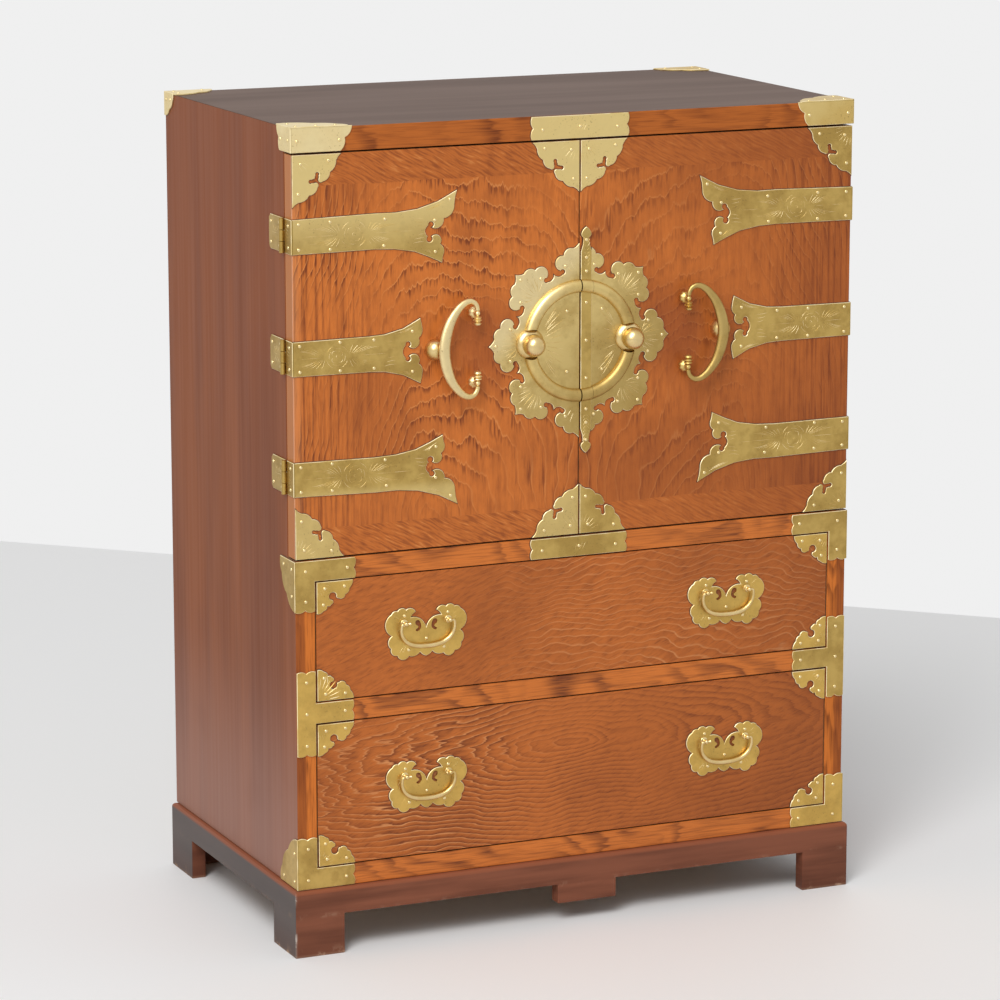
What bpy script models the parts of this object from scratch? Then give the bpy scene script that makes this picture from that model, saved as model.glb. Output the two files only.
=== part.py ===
"""Side cabinet with two doors over two drawers, dressed with brass mounts.

Lengths are metres. The front faces -Y, +X is on the right of someone who faces it, and the
origin lies on the floor in the middle of the box round the cabinet.
"""
import math

import bmesh
import bpy
from mathutils import Matrix, Vector

COLLECTION_NAME = "side_cabinet"
CUTTER_COLLECTION_NAME = "side_cabinet_cutters"

# Fits between pieces
SEAT_GAP = 0.0003
DOOR_GAP = 0.002
SEAM_GAP = 0.0015
DRAWER_GAP = 0.0015
RUNNER_GAP = 0.0004
BORE_CLEARANCE = 0.00006
KNUCKLE_GAP = 0.0004
OVERRUN = 0.002
WELD_DISTANCE = 0.00001
FOLD_STEP = 0.00005

# Case
WIDTH = 0.720
DEPTH = 0.420
HEIGHT = 0.975
SIDE_THICKNESS = 0.024
TOP_THICKNESS = 0.028
RAIL_HEIGHT = 0.025
LOWER_OPENING = 0.1745
UPPER_OPENING = 0.145
BACK_THICKNESS = 0.008
SHELF_THICKNESS = 0.016
SHELF_SETBACK = 0.016

# Doors
DOOR_THICKNESS = 0.022
DOOR_BACK_GAP = 0.0015

# Plinth
PLINTH_HEIGHT = 0.0805
PLINTH_PROJECTION = 0.0065
PLINTH_BOARD = 0.018
PLINTH_EDGE = 0.0045
FOOT_HEIGHT = 0.0485
FOOT_WIDTH = 0.062
SIDE_FOOT_LENGTH = 0.072
BLOCK_CENTRE = 0.0105
BLOCK_WIDTH = 0.077
BLOCK_DROP = 0.0235

# Drawers
DRAWER_FRONT = 0.020
DRAWER_SIDE = 0.010
DRAWER_FLOOR = 0.006
DRAWER_HEADROOM = 0.012
DRAWER_BOX_LENGTH = 0.378

# Brass sheet and its margin inside the rails
PLATE = 0.0015
MOUNT_MARGIN = 0.0004

# Hinges
STRAP_SPACING_SHARE = 0.2998
STRAP_LENGTH_SHARE = 0.568
STRAP_FLARE = 0.044
MIDDLE_STRAP_LENGTH_SHARE = 0.4461
MIDDLE_STRAP_FLARE = 0.038
HINGE_HALF_HEIGHT = 0.020
LEAF_REACH = 0.068
LEAF_CLIP = 0.004
BARREL_RADIUS = 0.0032
PIN_RADIUS = 0.0015
STRAP_KNUCKLE = 0.013

# Lock plate, its raised ring and the closing strip
LOCK_REACH = 0.1165
LOBES = 8
RING_RADIUS = 0.065
RING_WIDTH = 0.0158
RING_HEIGHT = 0.0070
STRIP_WIDTH = 0.014
STRIP_THICKNESS = 0.003
STRIP_REACH = 0.1345
LOCK_DROP = 0.0020

# Knobs
KNOB_OFFSET = 0.064
KNOB_RADIUS = 0.0126
KNOB_CENTRE_HEIGHT = 0.0145
COLLAR_RADIUS = 0.0175

# Door handles
HANDLE_TO_STRAP = 0.06395
HANDLE_POST_SPACING = 0.041
HANDLE_POST_HEIGHT = 0.014
HANDLE_POST_BASE = 0.0056
HANDLE_EYE = 0.0032
HANDLE_PIN = 0.0015
HANDLE_REACH = 0.044
HANDLE_SPAN = 0.056
HANDLE_FINIAL_LENGTH = 0.0114
HANDLE_BAIL_RADIUS = 0.0070
HANDLE_BAIL_THICKNESS = 0.0090
BUMPER_OFFSET = 0.0483
BUMPER_RADIUS = 0.0125
BUMPER_HEIGHT = 0.0142

# Drawer pulls
PULL_OFFSET_SHARE = 0.5472
PULL_WIDTH = 0.104
PULL_HEIGHT = 0.0634
PULL_DROP = 0.0003
PULL_POST_OFFSET = 0.028
PULL_POST_RISE = 0.0125
PULL_POST_HEIGHT = 0.008
PULL_EYE = 0.0028
PULL_STEM = 0.0018
PULL_PIN = 0.0012
PULL_BAIL_HALF_WIDTH = 0.0338
PULL_BAIL_DROP = 0.0288
PULL_BAIL_RADIUS = 0.0029
PULL_FINIAL_LENGTH = 0.0036

# Corner and edge mounts
CAP_LENGTH = 0.075
CAP_LOWER_SHARE = 0.81
CAP_SIDE_LENGTH = 0.043
CAP_TOP_LENGTH = 0.070
CAP_TOP_DEPTH = 0.046
BACK_CAP_LENGTH = 0.060
BACK_CAP_DEPTH = 0.040
BACK_CAP_SIDE = 0.031
EDGE_PLATE_HALF = 0.062
RAIL_BRACKET_ARM = 0.0736
RAIL_BRACKET_DROP = 0.0600
RAIL_BRACKET_SIDE = 0.044
TEE_HALF_HEIGHT = 0.0500
TEE_ARM = 0.0703
FOOT_BRACKET_ARM = 0.0700
FOOT_BRACKET_RISE = 0.0615
FOOT_BRACKET_SIDE = 0.053

# Outlines run anticlockwise; each point has a bulge, the sagitta of the arc to the next point
# over half its chord, which is positive where the arc stands out of the outline
LOBE_SHARES = (
    (1.000, 0.000, -0.15),
    (0.939, 0.070, 0.51),
    (0.871, 0.178, 0.99),
    (0.723, 0.210, -1.60),
    (0.682, 0.185, -0.44),
)
STRAP_SHARES = (
    (0.495, -0.434, -0.06),
    (0.739, -0.555, -0.03),
    (0.908, -0.891, -0.05),
    (0.916, -0.682, 0.42),
    (0.897, -0.402, 0.93),
    (0.845, -0.191, -2.60),
    (0.820, -0.184, -0.20),
    (0.804, -0.036, -0.20),
    (0.824, 0.116, -2.20),
    (0.846, 0.050, 0.63),
    (0.919, 0.273, 0.42),
    (0.984, 0.614, -0.08),
    (1.000, 1.000, -0.094),
    (0.757, 0.557, -0.057),
    (0.497, 0.505, 0.0),
)
MIDDLE_STRAP_SHARES = (
    (0.848, 0.000, -0.20),
    (0.869, 0.197, -2.20),
    (0.897, 0.145, 0.90),
    (0.971, 0.395, 0.32),
    (1.000, 0.684, 0.05),
    (0.984, 1.000, -0.12),
    (0.707, 0.574, 0.0),
    (0.588, 0.545, 0.0),
)
PULL_SHARES = (
    (0.000, -0.918, 0.20),
    (0.150, -0.754, 0.34),
    (0.423, -0.868, 0.68),
    (0.704, -0.817, 0.57),
    (0.860, -0.539, 0.54),
    (0.838, -0.057, 0.62),
    (0.848, 0.763, 0.41),
    (0.696, 0.868, 0.52),
    (0.488, 0.890, 0.50),
    (0.254, 0.789, -0.20),
    (0.373, 0.590, 0.40),
    (0.000, 0.174, 0.0),
)
PULL_CUTOUT_SHARES = (
    (0.262, 0.429, 0.60),
    (0.150, 0.391, 0.15),
    (0.127, 0.174, 0.20),
    (0.208, 0.047, 0.60),
    (0.258, 0.117, -0.20),
    (0.192, 0.205, -0.20),
    (0.250, 0.290, 0.25),
)
STRIP_SHARES = (
    (0.000, -1.000, 0.20),
    (0.930, -0.940, 0.35),
    (0.500, -0.905, -0.10),
    (1.000, -0.782, 0.0),
)
MID_CUSP_SHARE = 0.7425
QUARTER_SHARES = ((0.90, 0.33), (0.56, 0.70))
END_BUMP = 0.30
CUSP_SHARE = 0.12
SIDE_BUMP = 0.30
ARC_STEP = math.radians(50)
FLAT_SAG = 0.0008

# Turned profiles as shares of a radius and a height
COLLAR_SHARES = ((1.0, 0.0), (1.0, 0.17), (0.93, 0.52), (0.78, 0.83), (0.60, 1.0))
COLLAR_HEIGHT = 0.0058
DOME_SHARES = ((0.0, 1.0), (0.26, 0.965), (0.52, 0.86), (0.76, 0.66), (0.93, 0.36), (1.0, 0.08))
POST_FOOT_SHARES = ((0.40, 0.24), (0.46, 0.15), (0.80, 0.10), (1.0, 0.05))
NECK_SHARE = 0.7

# Bails as shares: out from the pivot, along the pivot axis, and of the thickest radius
HANDLE_BAIL_SHARES = (
    (0.000, 0.802, 0.40),
    (0.034, 0.902, 0.42),
    (0.136, 0.982, 0.45),
    (0.273, 1.000, 0.50),
    (0.455, 0.938, 0.60),
    (0.636, 0.804, 0.70),
    (0.795, 0.625, 0.82),
    (0.909, 0.411, 0.93),
    (0.977, 0.196, 0.98),
    (1.000, 0.000, 1.00),
)
HANDLE_FINIAL_SHARES = (
    (1.00, 0.4), (0.89, 1.5), (0.73, 2.0), (0.58, 1.3), (0.51, 2.0),
    (0.41, 2.4), (0.29, 1.9), (0.20, 2.3), (0.13, 2.4), (0.04, 1.7),
)
PULL_BAIL_SHARES = (
    (0.965, 0.020, 0.56),
    (1.000, 0.170, 0.60),
    (0.985, 0.400, 0.68),
    (0.890, 0.640, 0.80),
    (0.700, 0.840, 0.90),
    (0.400, 0.965, 0.98),
    (0.000, 1.000, 1.00),
)
PULL_FINIAL_SHARES = ((1.00, 0.6), (0.85, 1.6), (0.55, 1.9), (0.20, 1.3))

# Rounding
ROUND_SIDES = 12
POST_SIDES = 8
KNOB_STEPS = 18
RING_STEPS = 24
RING_PROFILE_STEPS = 4
BALL_STEPS = 5
SHARP_ANGLE = math.radians(35)

# Places worked out from the sizes above
HALF_WIDTH = WIDTH / 2
KNOB_REACH = SEAT_GAP + PLATE + SEAT_GAP + KNOB_CENTRE_HEIGHT + KNOB_RADIUS
FRONT_Y = (KNOB_REACH - DEPTH) / 2
LOWER_LOW = PLINTH_HEIGHT + RAIL_HEIGHT
LOWER_HIGH = LOWER_LOW + LOWER_OPENING
UPPER_LOW = LOWER_HIGH + RAIL_HEIGHT
UPPER_HIGH = UPPER_LOW + UPPER_OPENING
CUPBOARD_LOW = UPPER_HIGH + RAIL_HEIGHT
CUPBOARD_HIGH = HEIGHT - TOP_THICKNESS
DOOR_LOW = CUPBOARD_LOW + DOOR_GAP
DOOR_HIGH = CUPBOARD_HIGH - DOOR_GAP
DOOR_CENTRE = (DOOR_LOW + DOOR_HIGH) / 2
LOCK_CENTRE = DOOR_CENTRE - LOCK_DROP
DOOR_RECESS = DOOR_THICKNESS + DOOR_BACK_GAP
STRAP_SPACING = (DOOR_HIGH - DOOR_LOW) * STRAP_SPACING_SHARE
STRAP_LENGTH = HALF_WIDTH * STRAP_LENGTH_SHARE
MIDDLE_STRAP_LENGTH = HALF_WIDTH * MIDDLE_STRAP_LENGTH_SHARE
PULL_OFFSET = HALF_WIDTH * PULL_OFFSET_SHARE
INNER_HALF = HALF_WIDTH - SIDE_THICKNESS - SEAT_GAP
BOARD_DEPTH = DEPTH - BACK_THICKNESS - SEAT_GAP
PLATE_OUT = SEAT_GAP + PLATE
PLATE_MIDDLE = SEAT_GAP + PLATE / 2
FOLD_EDGE = HALF_WIDTH + PLATE_MIDDLE
HANDLE_OFFSET = FOLD_EDGE - MIDDLE_STRAP_LENGTH - HANDLE_TO_STRAP
HINGE_X = HALF_WIDTH + SEAT_GAP + PLATE / 4 + BARREL_RADIUS
HINGE_DEPTH = DOOR_THICKNESS + DOOR_BACK_GAP / 2
KNUCKLE_REACH = BARREL_RADIUS + KNUCKLE_GAP
STRIP_CENTRE = SEAM_GAP / 2 + STRIP_WIDTH / 2
LOCK_RIGHT_EDGE = SEAM_GAP / 2 + STRIP_WIDTH + SEAT_GAP
HANDLE_REST_RISE = BUMPER_HEIGHT + SEAT_GAP + HANDLE_BAIL_THICKNESS / 2 - HANDLE_POST_HEIGHT
HANDLE_TILT = math.asin(HANDLE_REST_RISE / HANDLE_REACH)
PULL_REST_FALL = PULL_POST_HEIGHT - PLATE_OUT - SEAT_GAP - PULL_BAIL_RADIUS
PULL_TILT = math.asin(PULL_REST_FALL / PULL_BAIL_DROP)
SIDES = (("left", -1), ("right", 1))


def clear_scene():
    """Remove every object that the scene holds."""
    for item in list(bpy.data.objects):
        bpy.data.objects.remove(item, do_unlink=True)


def new_collection(name):
    """Return a collection in the scene."""
    group = bpy.data.collections.new(name)
    bpy.context.scene.collection.children.link(group)
    return group


def new_material(name, colour, roughness, metallic):
    """Return a Principled material."""
    material = bpy.data.materials.new(name)
    material.use_nodes = True
    shader = material.node_tree.nodes["Principled BSDF"]
    shader.inputs["Base Color"].default_value = (*colour, 1)
    shader.inputs["Roughness"].default_value = roughness
    shader.inputs["Metallic"].default_value = metallic
    return material


clear_scene()
PARTS = new_collection(COLLECTION_NAME)
CUTTERS = new_collection(CUTTER_COLLECTION_NAME)
DOOR_WOOD = new_material("door_veneer", (0.50, 0.19, 0.06), 0.38, 0)
CASE_WOOD = new_material("case_wood", (0.38, 0.13, 0.05), 0.42, 0)
SIDE_WOOD = new_material("side_wood", (0.20, 0.07, 0.045), 0.40, 0)
TOP_WOOD = new_material("top_wood", (0.16, 0.10, 0.08), 0.38, 0)
PLINTH_WOOD = new_material("plinth_wood", (0.22, 0.08, 0.04), 0.40, 0)
INNER_WOOD = new_material("inner_wood", (0.42, 0.28, 0.16), 0.60, 0)
SHEET_BRASS = new_material("sheet_brass", (0.62, 0.49, 0.22), 0.34, 1)
CAST_BRASS = new_material("cast_brass", (0.78, 0.66, 0.36), 0.22, 1)


# Frames whose local XY plane is the front, a side or the top


def front_frame(depth):
    """Local x is across, y is up and z comes out of the front."""
    return Matrix(((1, 0, 0, 0), (0, 0, -1, FRONT_Y + depth), (0, 1, 0, 0), (0, 0, 0, 1)))


def side_frame(x):
    """Local x is the depth from the front, y is up and z is across."""
    return Matrix(((0, 0, 1, x), (1, 0, 0, FRONT_Y), (0, 1, 0, 0), (0, 0, 0, 1)))


def top_frame(z):
    """Local x is across, y is the depth from the front and z is up."""
    return Matrix(((1, 0, 0, 0), (0, 1, 0, FRONT_Y), (0, 0, 1, z), (0, 0, 0, 1)))


def world(x, depth, z):
    """Return the place at a depth behind the plane of the front."""
    return Vector((x, FRONT_Y + depth, z))


# Making meshes


def mesh_object(name, mesh):
    """Link an object that shows the mesh among the cutters until it is kept."""
    item = bpy.data.objects.new(name, mesh)
    item.hide_render = True
    item.display_type = "WIRE"
    CUTTERS.objects.link(item)
    return item


def tidy(mesh):
    """Weld the mesh's loose caps and turn its faces outward."""
    work = bmesh.new()
    work.from_mesh(mesh)
    bmesh.ops.remove_doubles(work, verts=work.verts, dist=WELD_DISTANCE)
    bmesh.ops.recalc_face_normals(work, faces=work.faces)
    work.to_mesh(mesh)
    work.free()


def baked(item):
    """Replace an object by a mesh object of its evaluated shape."""
    bpy.context.view_layer.update()
    evaluated = item.evaluated_get(bpy.context.evaluated_depsgraph_get())
    mesh = bpy.data.meshes.new_from_object(evaluated)
    mesh.transform(item.matrix_world)
    name = item.name
    data = item.data
    bpy.data.objects.remove(item, do_unlink=True)
    if isinstance(data, bpy.types.Curve):
        bpy.data.curves.remove(data)
    else:
        bpy.data.meshes.remove(data)
    tidy(mesh)
    mesh.name = name
    return mesh_object(name, mesh)


def box(name, low, high):
    """Return a box between two corners."""
    size = high - low
    work = bmesh.new()
    bmesh.ops.create_cube(work, size=1, matrix=Matrix.Translation((low + high) / 2)
                          @ Matrix.Diagonal((*size, 1)))
    mesh = bpy.data.meshes.new(name)
    work.to_mesh(mesh)
    work.free()
    return mesh_object(name, mesh)


def board(name, half_width, depth_low, depth_high, z_low, z_high):
    """Return a board that lies evenly about the middle."""
    return box(name, world(-half_width, depth_low, z_low), world(half_width, depth_high, z_high))


def rod(name, start, end, radius):
    """Return a round rod between two places."""
    along = end - start
    turn = along.to_track_quat("Z", "Y").to_matrix().to_4x4()
    work = bmesh.new()
    bmesh.ops.create_cone(work, cap_ends=True, segments=ROUND_SIDES, radius1=radius,
                          radius2=radius, depth=along.length,
                          matrix=Matrix.Translation((start + end) / 2) @ turn)
    mesh = bpy.data.meshes.new(name)
    work.to_mesh(mesh)
    work.free()
    return mesh_object(name, mesh)


def drill(name, start, end, radius):
    """Return a rod to cut a hole with, whose flats lie at the radius."""
    return rod(name, start, end, radius / math.cos(math.pi / ROUND_SIDES))


def slab(name, loops, thickness, frame):
    """Return flat loops filled and thickened evenly about the frame's plane."""
    curve = bpy.data.curves.new(name, "CURVE")
    curve.dimensions = "2D"
    curve.fill_mode = "BOTH"
    curve.extrude = thickness / 2
    for loop in loops:
        spline = curve.splines.new("POLY")
        spline.points.add(len(loop) - 1)
        for point, place in zip(spline.points, loop):
            point.co = (*place, 0, 1)
        spline.use_cyclic_u = True
    item = bpy.data.objects.new(name, curve)
    CUTTERS.objects.link(item)
    item.matrix_world = frame
    return baked(item)


def turned(name, profile, frame, steps, closed=False):
    """Return a profile of radii and heights turned about the frame's z axis."""
    work = bmesh.new()
    corners = [work.verts.new((radius, 0, height)) for radius, height in profile]
    for first, second in zip(corners, corners[1:]):
        work.edges.new((first, second))
    if closed:
        work.edges.new((corners[-1], corners[0]))
    mesh = bpy.data.meshes.new(name)
    work.to_mesh(mesh)
    work.free()
    item = mesh_object(name, mesh)
    item.matrix_world = frame
    screw = item.modifiers.new("Turn", "SCREW")
    screw.steps = steps
    screw.render_steps = steps
    screw.use_merge_vertices = True
    screw.merge_threshold = WELD_DISTANCE
    return baked(item)


def tube(name, places, radii):
    """Return a round tube whose radius changes from place to place, in its own frame."""
    thickest = max(radii)
    curve = bpy.data.curves.new(name, "CURVE")
    curve.dimensions = "3D"
    curve.bevel_depth = thickest
    curve.bevel_resolution = 2
    curve.use_fill_caps = True
    spline = curve.splines.new("POLY")
    spline.points.add(len(places) - 1)
    for point, place, radius in zip(spline.points, places, radii):
        point.co = (*place, 1)
        point.radius = radius / thickest
    item = bpy.data.objects.new(name, curve)
    CUTTERS.objects.link(item)
    return baked(item)


def combined(item, tools, operation):
    """Join, cut or clip a piece with each tool, and remove the tools."""
    for tool in tools:
        step = item.modifiers.new(operation.title(), "BOOLEAN")
        step.operation = operation
        step.solver = "EXACT"
        step.object = tool
    result = baked(item)
    for tool in tools:
        bpy.data.objects.remove(tool, do_unlink=True)
    return result


def joined(item, *tools):
    """Join the tools to a piece."""
    return combined(item, tools, "UNION")


def cut(item, *tools):
    """Cut the tools out of a piece."""
    return combined(item, tools, "DIFFERENCE")


def clipped(item, tool):
    """Keep what a piece and the tool share."""
    return combined(item, [tool], "INTERSECT")


def keep(item, name, material, smooth=False):
    """Move a finished piece into the cabinet's collection."""
    CUTTERS.objects.unlink(item)
    PARTS.objects.link(item)
    item.hide_render = False
    item.display_type = "TEXTURED"
    item.name = name
    item.data.name = name
    item.data.materials.clear()
    item.data.materials.append(material)
    if smooth:
        item.data.shade_smooth()
        item.data.set_sharp_from_angle(angle=SHARP_ANGLE)
    return item


# Outlines


def arc(start, end, bulge):
    """Return the places along an arc, from its start up to but not its end."""
    chord = end - start
    if bulge == 0 or chord.length == 0:
        return [start]
    angle = 4 * math.atan(abs(bulge))
    radius = chord.length / 2 / math.sin(angle / 2)
    outward = Vector((chord.y, -chord.x)).normalized() * math.copysign(1, bulge)
    centre = (start + end) / 2 - outward * radius * math.cos(angle / 2)
    steps = math.ceil(angle / ARC_STEP)
    if radius * (1 - math.cos(angle / 2)) > FLAT_SAG:
        steps = max(2, steps)
    arm = start - centre
    turn = math.copysign(angle, bulge) / steps
    places = []
    for step in range(steps):
        swing = Matrix.Rotation(turn * step, 2)
        places.append(centre + swing @ arm)
    return places


def outline(points):
    """Return the closed outline through (x, y, bulge) points."""
    loop = []
    for here, after in zip(points, (*points[1:], points[0])):
        loop.extend(arc(Vector(here[:2]), Vector(after[:2]), here[2]))
    return loop


def bumps(start, end, count, bulge):
    """Return the points of a row of bumps with sunk cusps, up to but not the end."""
    first = Vector(start)
    way = (Vector(end) - first) / count
    inward = Vector((-way.y, way.x)) * CUSP_SHARE
    points = [(*first, bulge)]
    points.extend((*(first + way * step + inward), bulge) for step in range(1, count))
    return points


def scaled(shares, width, height):
    """Return a table of shares as points."""
    return [(across * width, up * height, bulge) for across, up, bulge in shares]


def mirrored(half):
    """Return a half outline that starts and ends on the y axis with its mirror image."""
    other = []
    for here, before in zip(half[:0:-1], half[-2::-1]):
        other.append((-here[0], here[1], before[2]))
    return [*half[:-1], *other]


def heightened(lower):
    """Return a right-hand half outline from its lower part, mirrored above the x axis."""
    upper = [(here[0], -here[1], before[2]) for here, before in zip(lower[::-1], lower[-2::-1])]
    return [*lower, *upper, (lower[0][0], -lower[0][1], 0)]


def flipped(half):
    """Return an upper half outline with its mirror image below the x axis before it."""
    below = []
    for here, before in zip(half[:0:-1], half[-2::-1]):
        below.append((here[0], -here[1], before[2]))
    return [*below, *half]


def placed(loop, centre_x, centre_y, sign_x=1, sign_y=1):
    """Move a loop to its centre, mirrored where a sign is negative."""
    return [Vector((centre_x + sign_x * place.x, centre_y + sign_y * place.y)) for place in loop]


def quarter(reach_x, reach_y, bulge):
    """Return a corner piece whose long edge is a row of bumps between two arms."""
    corners = [(reach_x, 0)]
    corners.extend((share_x * reach_x, share_y * reach_y) for share_x, share_y in QUARTER_SHARES)
    corners.append((0, reach_y))
    points = [(0, 0, 0)]
    points.extend((*corner, bulge) for corner in corners[:-1])
    points.append((*corners[-1], 0))
    return outline(points)


# Sheet brass on the front, on a side or on the top


def front_plate(name, loops, thickness=PLATE):
    """Return a plate on the plane of the front."""
    return slab(name, loops, thickness, front_frame(-SEAT_GAP - thickness / 2))


def side_plate(name, loop, sign):
    """Return a plate on the left or the right side."""
    return slab(name, [loop], PLATE, side_frame(sign * (HALF_WIDTH + PLATE_MIDDLE)))


def top_plate(name, loop):
    """Return a plate on the top."""
    return slab(name, [loop], PLATE, top_frame(HEIGHT + PLATE_MIDDLE))


def ball_profile(centre_height, radius, neck):
    """Return the profile of a ball from its top down to where its radius is the neck's."""
    last = math.pi - math.asin(neck / radius)
    angles = [last * step / BALL_STEPS for step in range(BALL_STEPS + 1)]
    return [(radius * math.sin(angle), centre_height + radius * math.cos(angle))
            for angle in angles]


# Case


def make_sides():
    """Make the side boards, mitred to the top and notched behind the doors."""
    for word, sign in SIDES:
        loop = [
            Vector((sign * HALF_WIDTH, PLINTH_HEIGHT)),
            Vector((sign * HALF_WIDTH, HEIGHT)),
            Vector((sign * (HALF_WIDTH - SIDE_THICKNESS), CUPBOARD_HIGH)),
            Vector((sign * (HALF_WIDTH - SIDE_THICKNESS), PLINTH_HEIGHT)),
        ]
        side = slab("side", [loop], DEPTH, front_frame(DEPTH / 2))
        inner = sign * (HALF_WIDTH - SIDE_THICKNESS - OVERRUN)
        outer = sign * (HALF_WIDTH + OVERRUN)
        recess = box("recess", world(min(inner, outer), -OVERRUN, CUPBOARD_LOW),
                     world(max(inner, outer), DOOR_RECESS, CUPBOARD_HIGH))
        keep(cut(side, recess), f"side_{word}", SIDE_WOOD)


def make_boards():
    """Make the top, the three boards between the sides, the back and the shelf."""
    lower = HALF_WIDTH - SIDE_THICKNESS - SEAT_GAP
    upper = HALF_WIDTH - SEAT_GAP
    loop = [Vector((-upper, HEIGHT)), Vector((-lower, CUPBOARD_HIGH)),
            Vector((lower, CUPBOARD_HIGH)), Vector((upper, HEIGHT))]
    keep(slab("top", [loop], DEPTH, front_frame(DEPTH / 2)), "top_board", TOP_WOOD)
    for name, low in (("case_bottom", PLINTH_HEIGHT), ("drawer_divider", LOWER_HIGH),
                      ("cupboard_floor", UPPER_HIGH)):
        piece = board(name, INNER_HALF, 0, BOARD_DEPTH, low, low + RAIL_HEIGHT)
        keep(piece, name, CASE_WOOD)
    back = board("back", INNER_HALF, DEPTH - BACK_THICKNESS, DEPTH, PLINTH_HEIGHT,
                 CUPBOARD_HIGH - SEAT_GAP)
    keep(back, "back_panel", INNER_WOOD)
    shelf = board("shelf", INNER_HALF, DOOR_RECESS + SHELF_SETBACK, BOARD_DEPTH,
                  DOOR_CENTRE - SHELF_THICKNESS / 2, DOOR_CENTRE + SHELF_THICKNESS / 2)
    keep(shelf, "shelf", INNER_WOOD)


def make_plinth():
    """Make the plinth frame with its bracket feet and the block in its front."""
    top = PLINTH_HEIGHT - SEAT_GAP
    outer = HALF_WIDTH + PLINTH_PROJECTION
    inner = outer - PLINTH_BOARD
    plinth = board("plinth", outer, -PLINTH_PROJECTION, DEPTH, 0, top)
    work = bmesh.new()
    work.from_mesh(plinth.data)
    rim = [edge for edge in work.edges
           if all(abs(corner.co.z - top) < WELD_DISTANCE for corner in edge.verts)]
    bmesh.ops.bevel(work, geom=rim, offset=PLINTH_EDGE, segments=3, profile=0.5,
                    affect="EDGES", clamp_overlap=True)
    work.to_mesh(plinth.data)
    work.free()
    hollow = board("hollow", inner, PLINTH_BOARD - PLINTH_PROJECTION, DEPTH - PLINTH_BOARD,
                   -OVERRUN, PLINTH_HEIGHT + OVERRUN)
    reach = outer - FOOT_WIDTH
    block_left = BLOCK_CENTRE - BLOCK_WIDTH / 2
    block_right = BLOCK_CENTRE + BLOCK_WIDTH / 2
    front = [
        Vector((-reach, -OVERRUN)),
        Vector((reach, -OVERRUN)),
        Vector((reach, FOOT_HEIGHT)),
        Vector((block_right, FOOT_HEIGHT)),
        Vector((block_right, FOOT_HEIGHT - BLOCK_DROP)),
        Vector((block_left, FOOT_HEIGHT - BLOCK_DROP)),
        Vector((block_left, FOOT_HEIGHT)),
        Vector((-reach, FOOT_HEIGHT)),
    ]
    cut_depth = PLINTH_BOARD + OVERRUN + OVERRUN
    front_gap = slab("front_gap", [front], cut_depth,
                     front_frame(PLINTH_BOARD / 2 - PLINTH_PROJECTION))
    back_gap = board("back_gap", reach, DEPTH - PLINTH_BOARD - OVERRUN, DEPTH + OVERRUN,
                     -OVERRUN, FOOT_HEIGHT)
    side_gap = board("side_gap", outer + OVERRUN, SIDE_FOOT_LENGTH - PLINTH_PROJECTION,
                     DEPTH - SIDE_FOOT_LENGTH, -OVERRUN, FOOT_HEIGHT)
    keep(cut(plinth, hollow, front_gap, back_gap, side_gap), "plinth", PLINTH_WOOD)


# Doors and hinges


def make_doors():
    """Make the two doors."""
    for word, sign in SIDES:
        inner = sign * SEAM_GAP / 2
        outer = sign * HALF_WIDTH
        door = box("door", world(min(inner, outer), 0, DOOR_LOW),
                   world(max(inner, outer), DOOR_THICKNESS, DOOR_HIGH))
        keep(door, f"door_{word}", DOOR_WOOD)


def strap_outline(middle, turned_over):
    """Return a strap's outline with its hinge edge on the y axis."""
    if middle:
        half = scaled(MIDDLE_STRAP_SHARES, MIDDLE_STRAP_LENGTH, MIDDLE_STRAP_FLARE)
        points = flipped([*half, (0, HINGE_HALF_HEIGHT, 0)])
    else:
        points = [(0, -HINGE_HALF_HEIGHT, 0), *scaled(STRAP_SHARES, STRAP_LENGTH, STRAP_FLARE),
                  (0, HINGE_HALF_HEIGHT, 0)]
    return placed(outline(points), 0, 0, 1, -1 if turned_over else 1)


def make_strap(name, sign, z, loop):
    """Make a strap: its plate, its turn round the door's edge and its bored knuckle."""
    face = front_plate("face", [placed(loop, sign * FOLD_EDGE, z, -sign)])
    fold = -PLATE_OUT - FOLD_STEP
    half = HINGE_HALF_HEIGHT - FOLD_STEP
    shoulder = HINGE_DEPTH - KNUCKLE_REACH
    tongue = STRAP_KNUCKLE / 2
    wrap_loop = [
        Vector((fold, z - half)),
        Vector((shoulder, z - half)),
        Vector((shoulder, z - tongue)),
        Vector((HINGE_DEPTH, z - tongue)),
        Vector((HINGE_DEPTH, z + tongue)),
        Vector((shoulder, z + tongue)),
        Vector((shoulder, z + half)),
        Vector((fold, z + half)),
    ]
    wrap = side_plate("wrap", wrap_loop, sign)
    axis_x = sign * HINGE_X
    barrel = tongue + FOLD_STEP
    knuckle = rod("knuckle", world(axis_x, HINGE_DEPTH, z - barrel),
                  world(axis_x, HINGE_DEPTH, z + barrel), BARREL_RADIUS)
    bore = drill("bore", world(axis_x, HINGE_DEPTH, z - tongue - OVERRUN),
               world(axis_x, HINGE_DEPTH, z + tongue + OVERRUN), PIN_RADIUS + BORE_CLEARANCE)
    strap = cut(joined(face, wrap, knuckle), bore)
    keep(strap, name, SHEET_BRASS, smooth=True)


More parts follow.
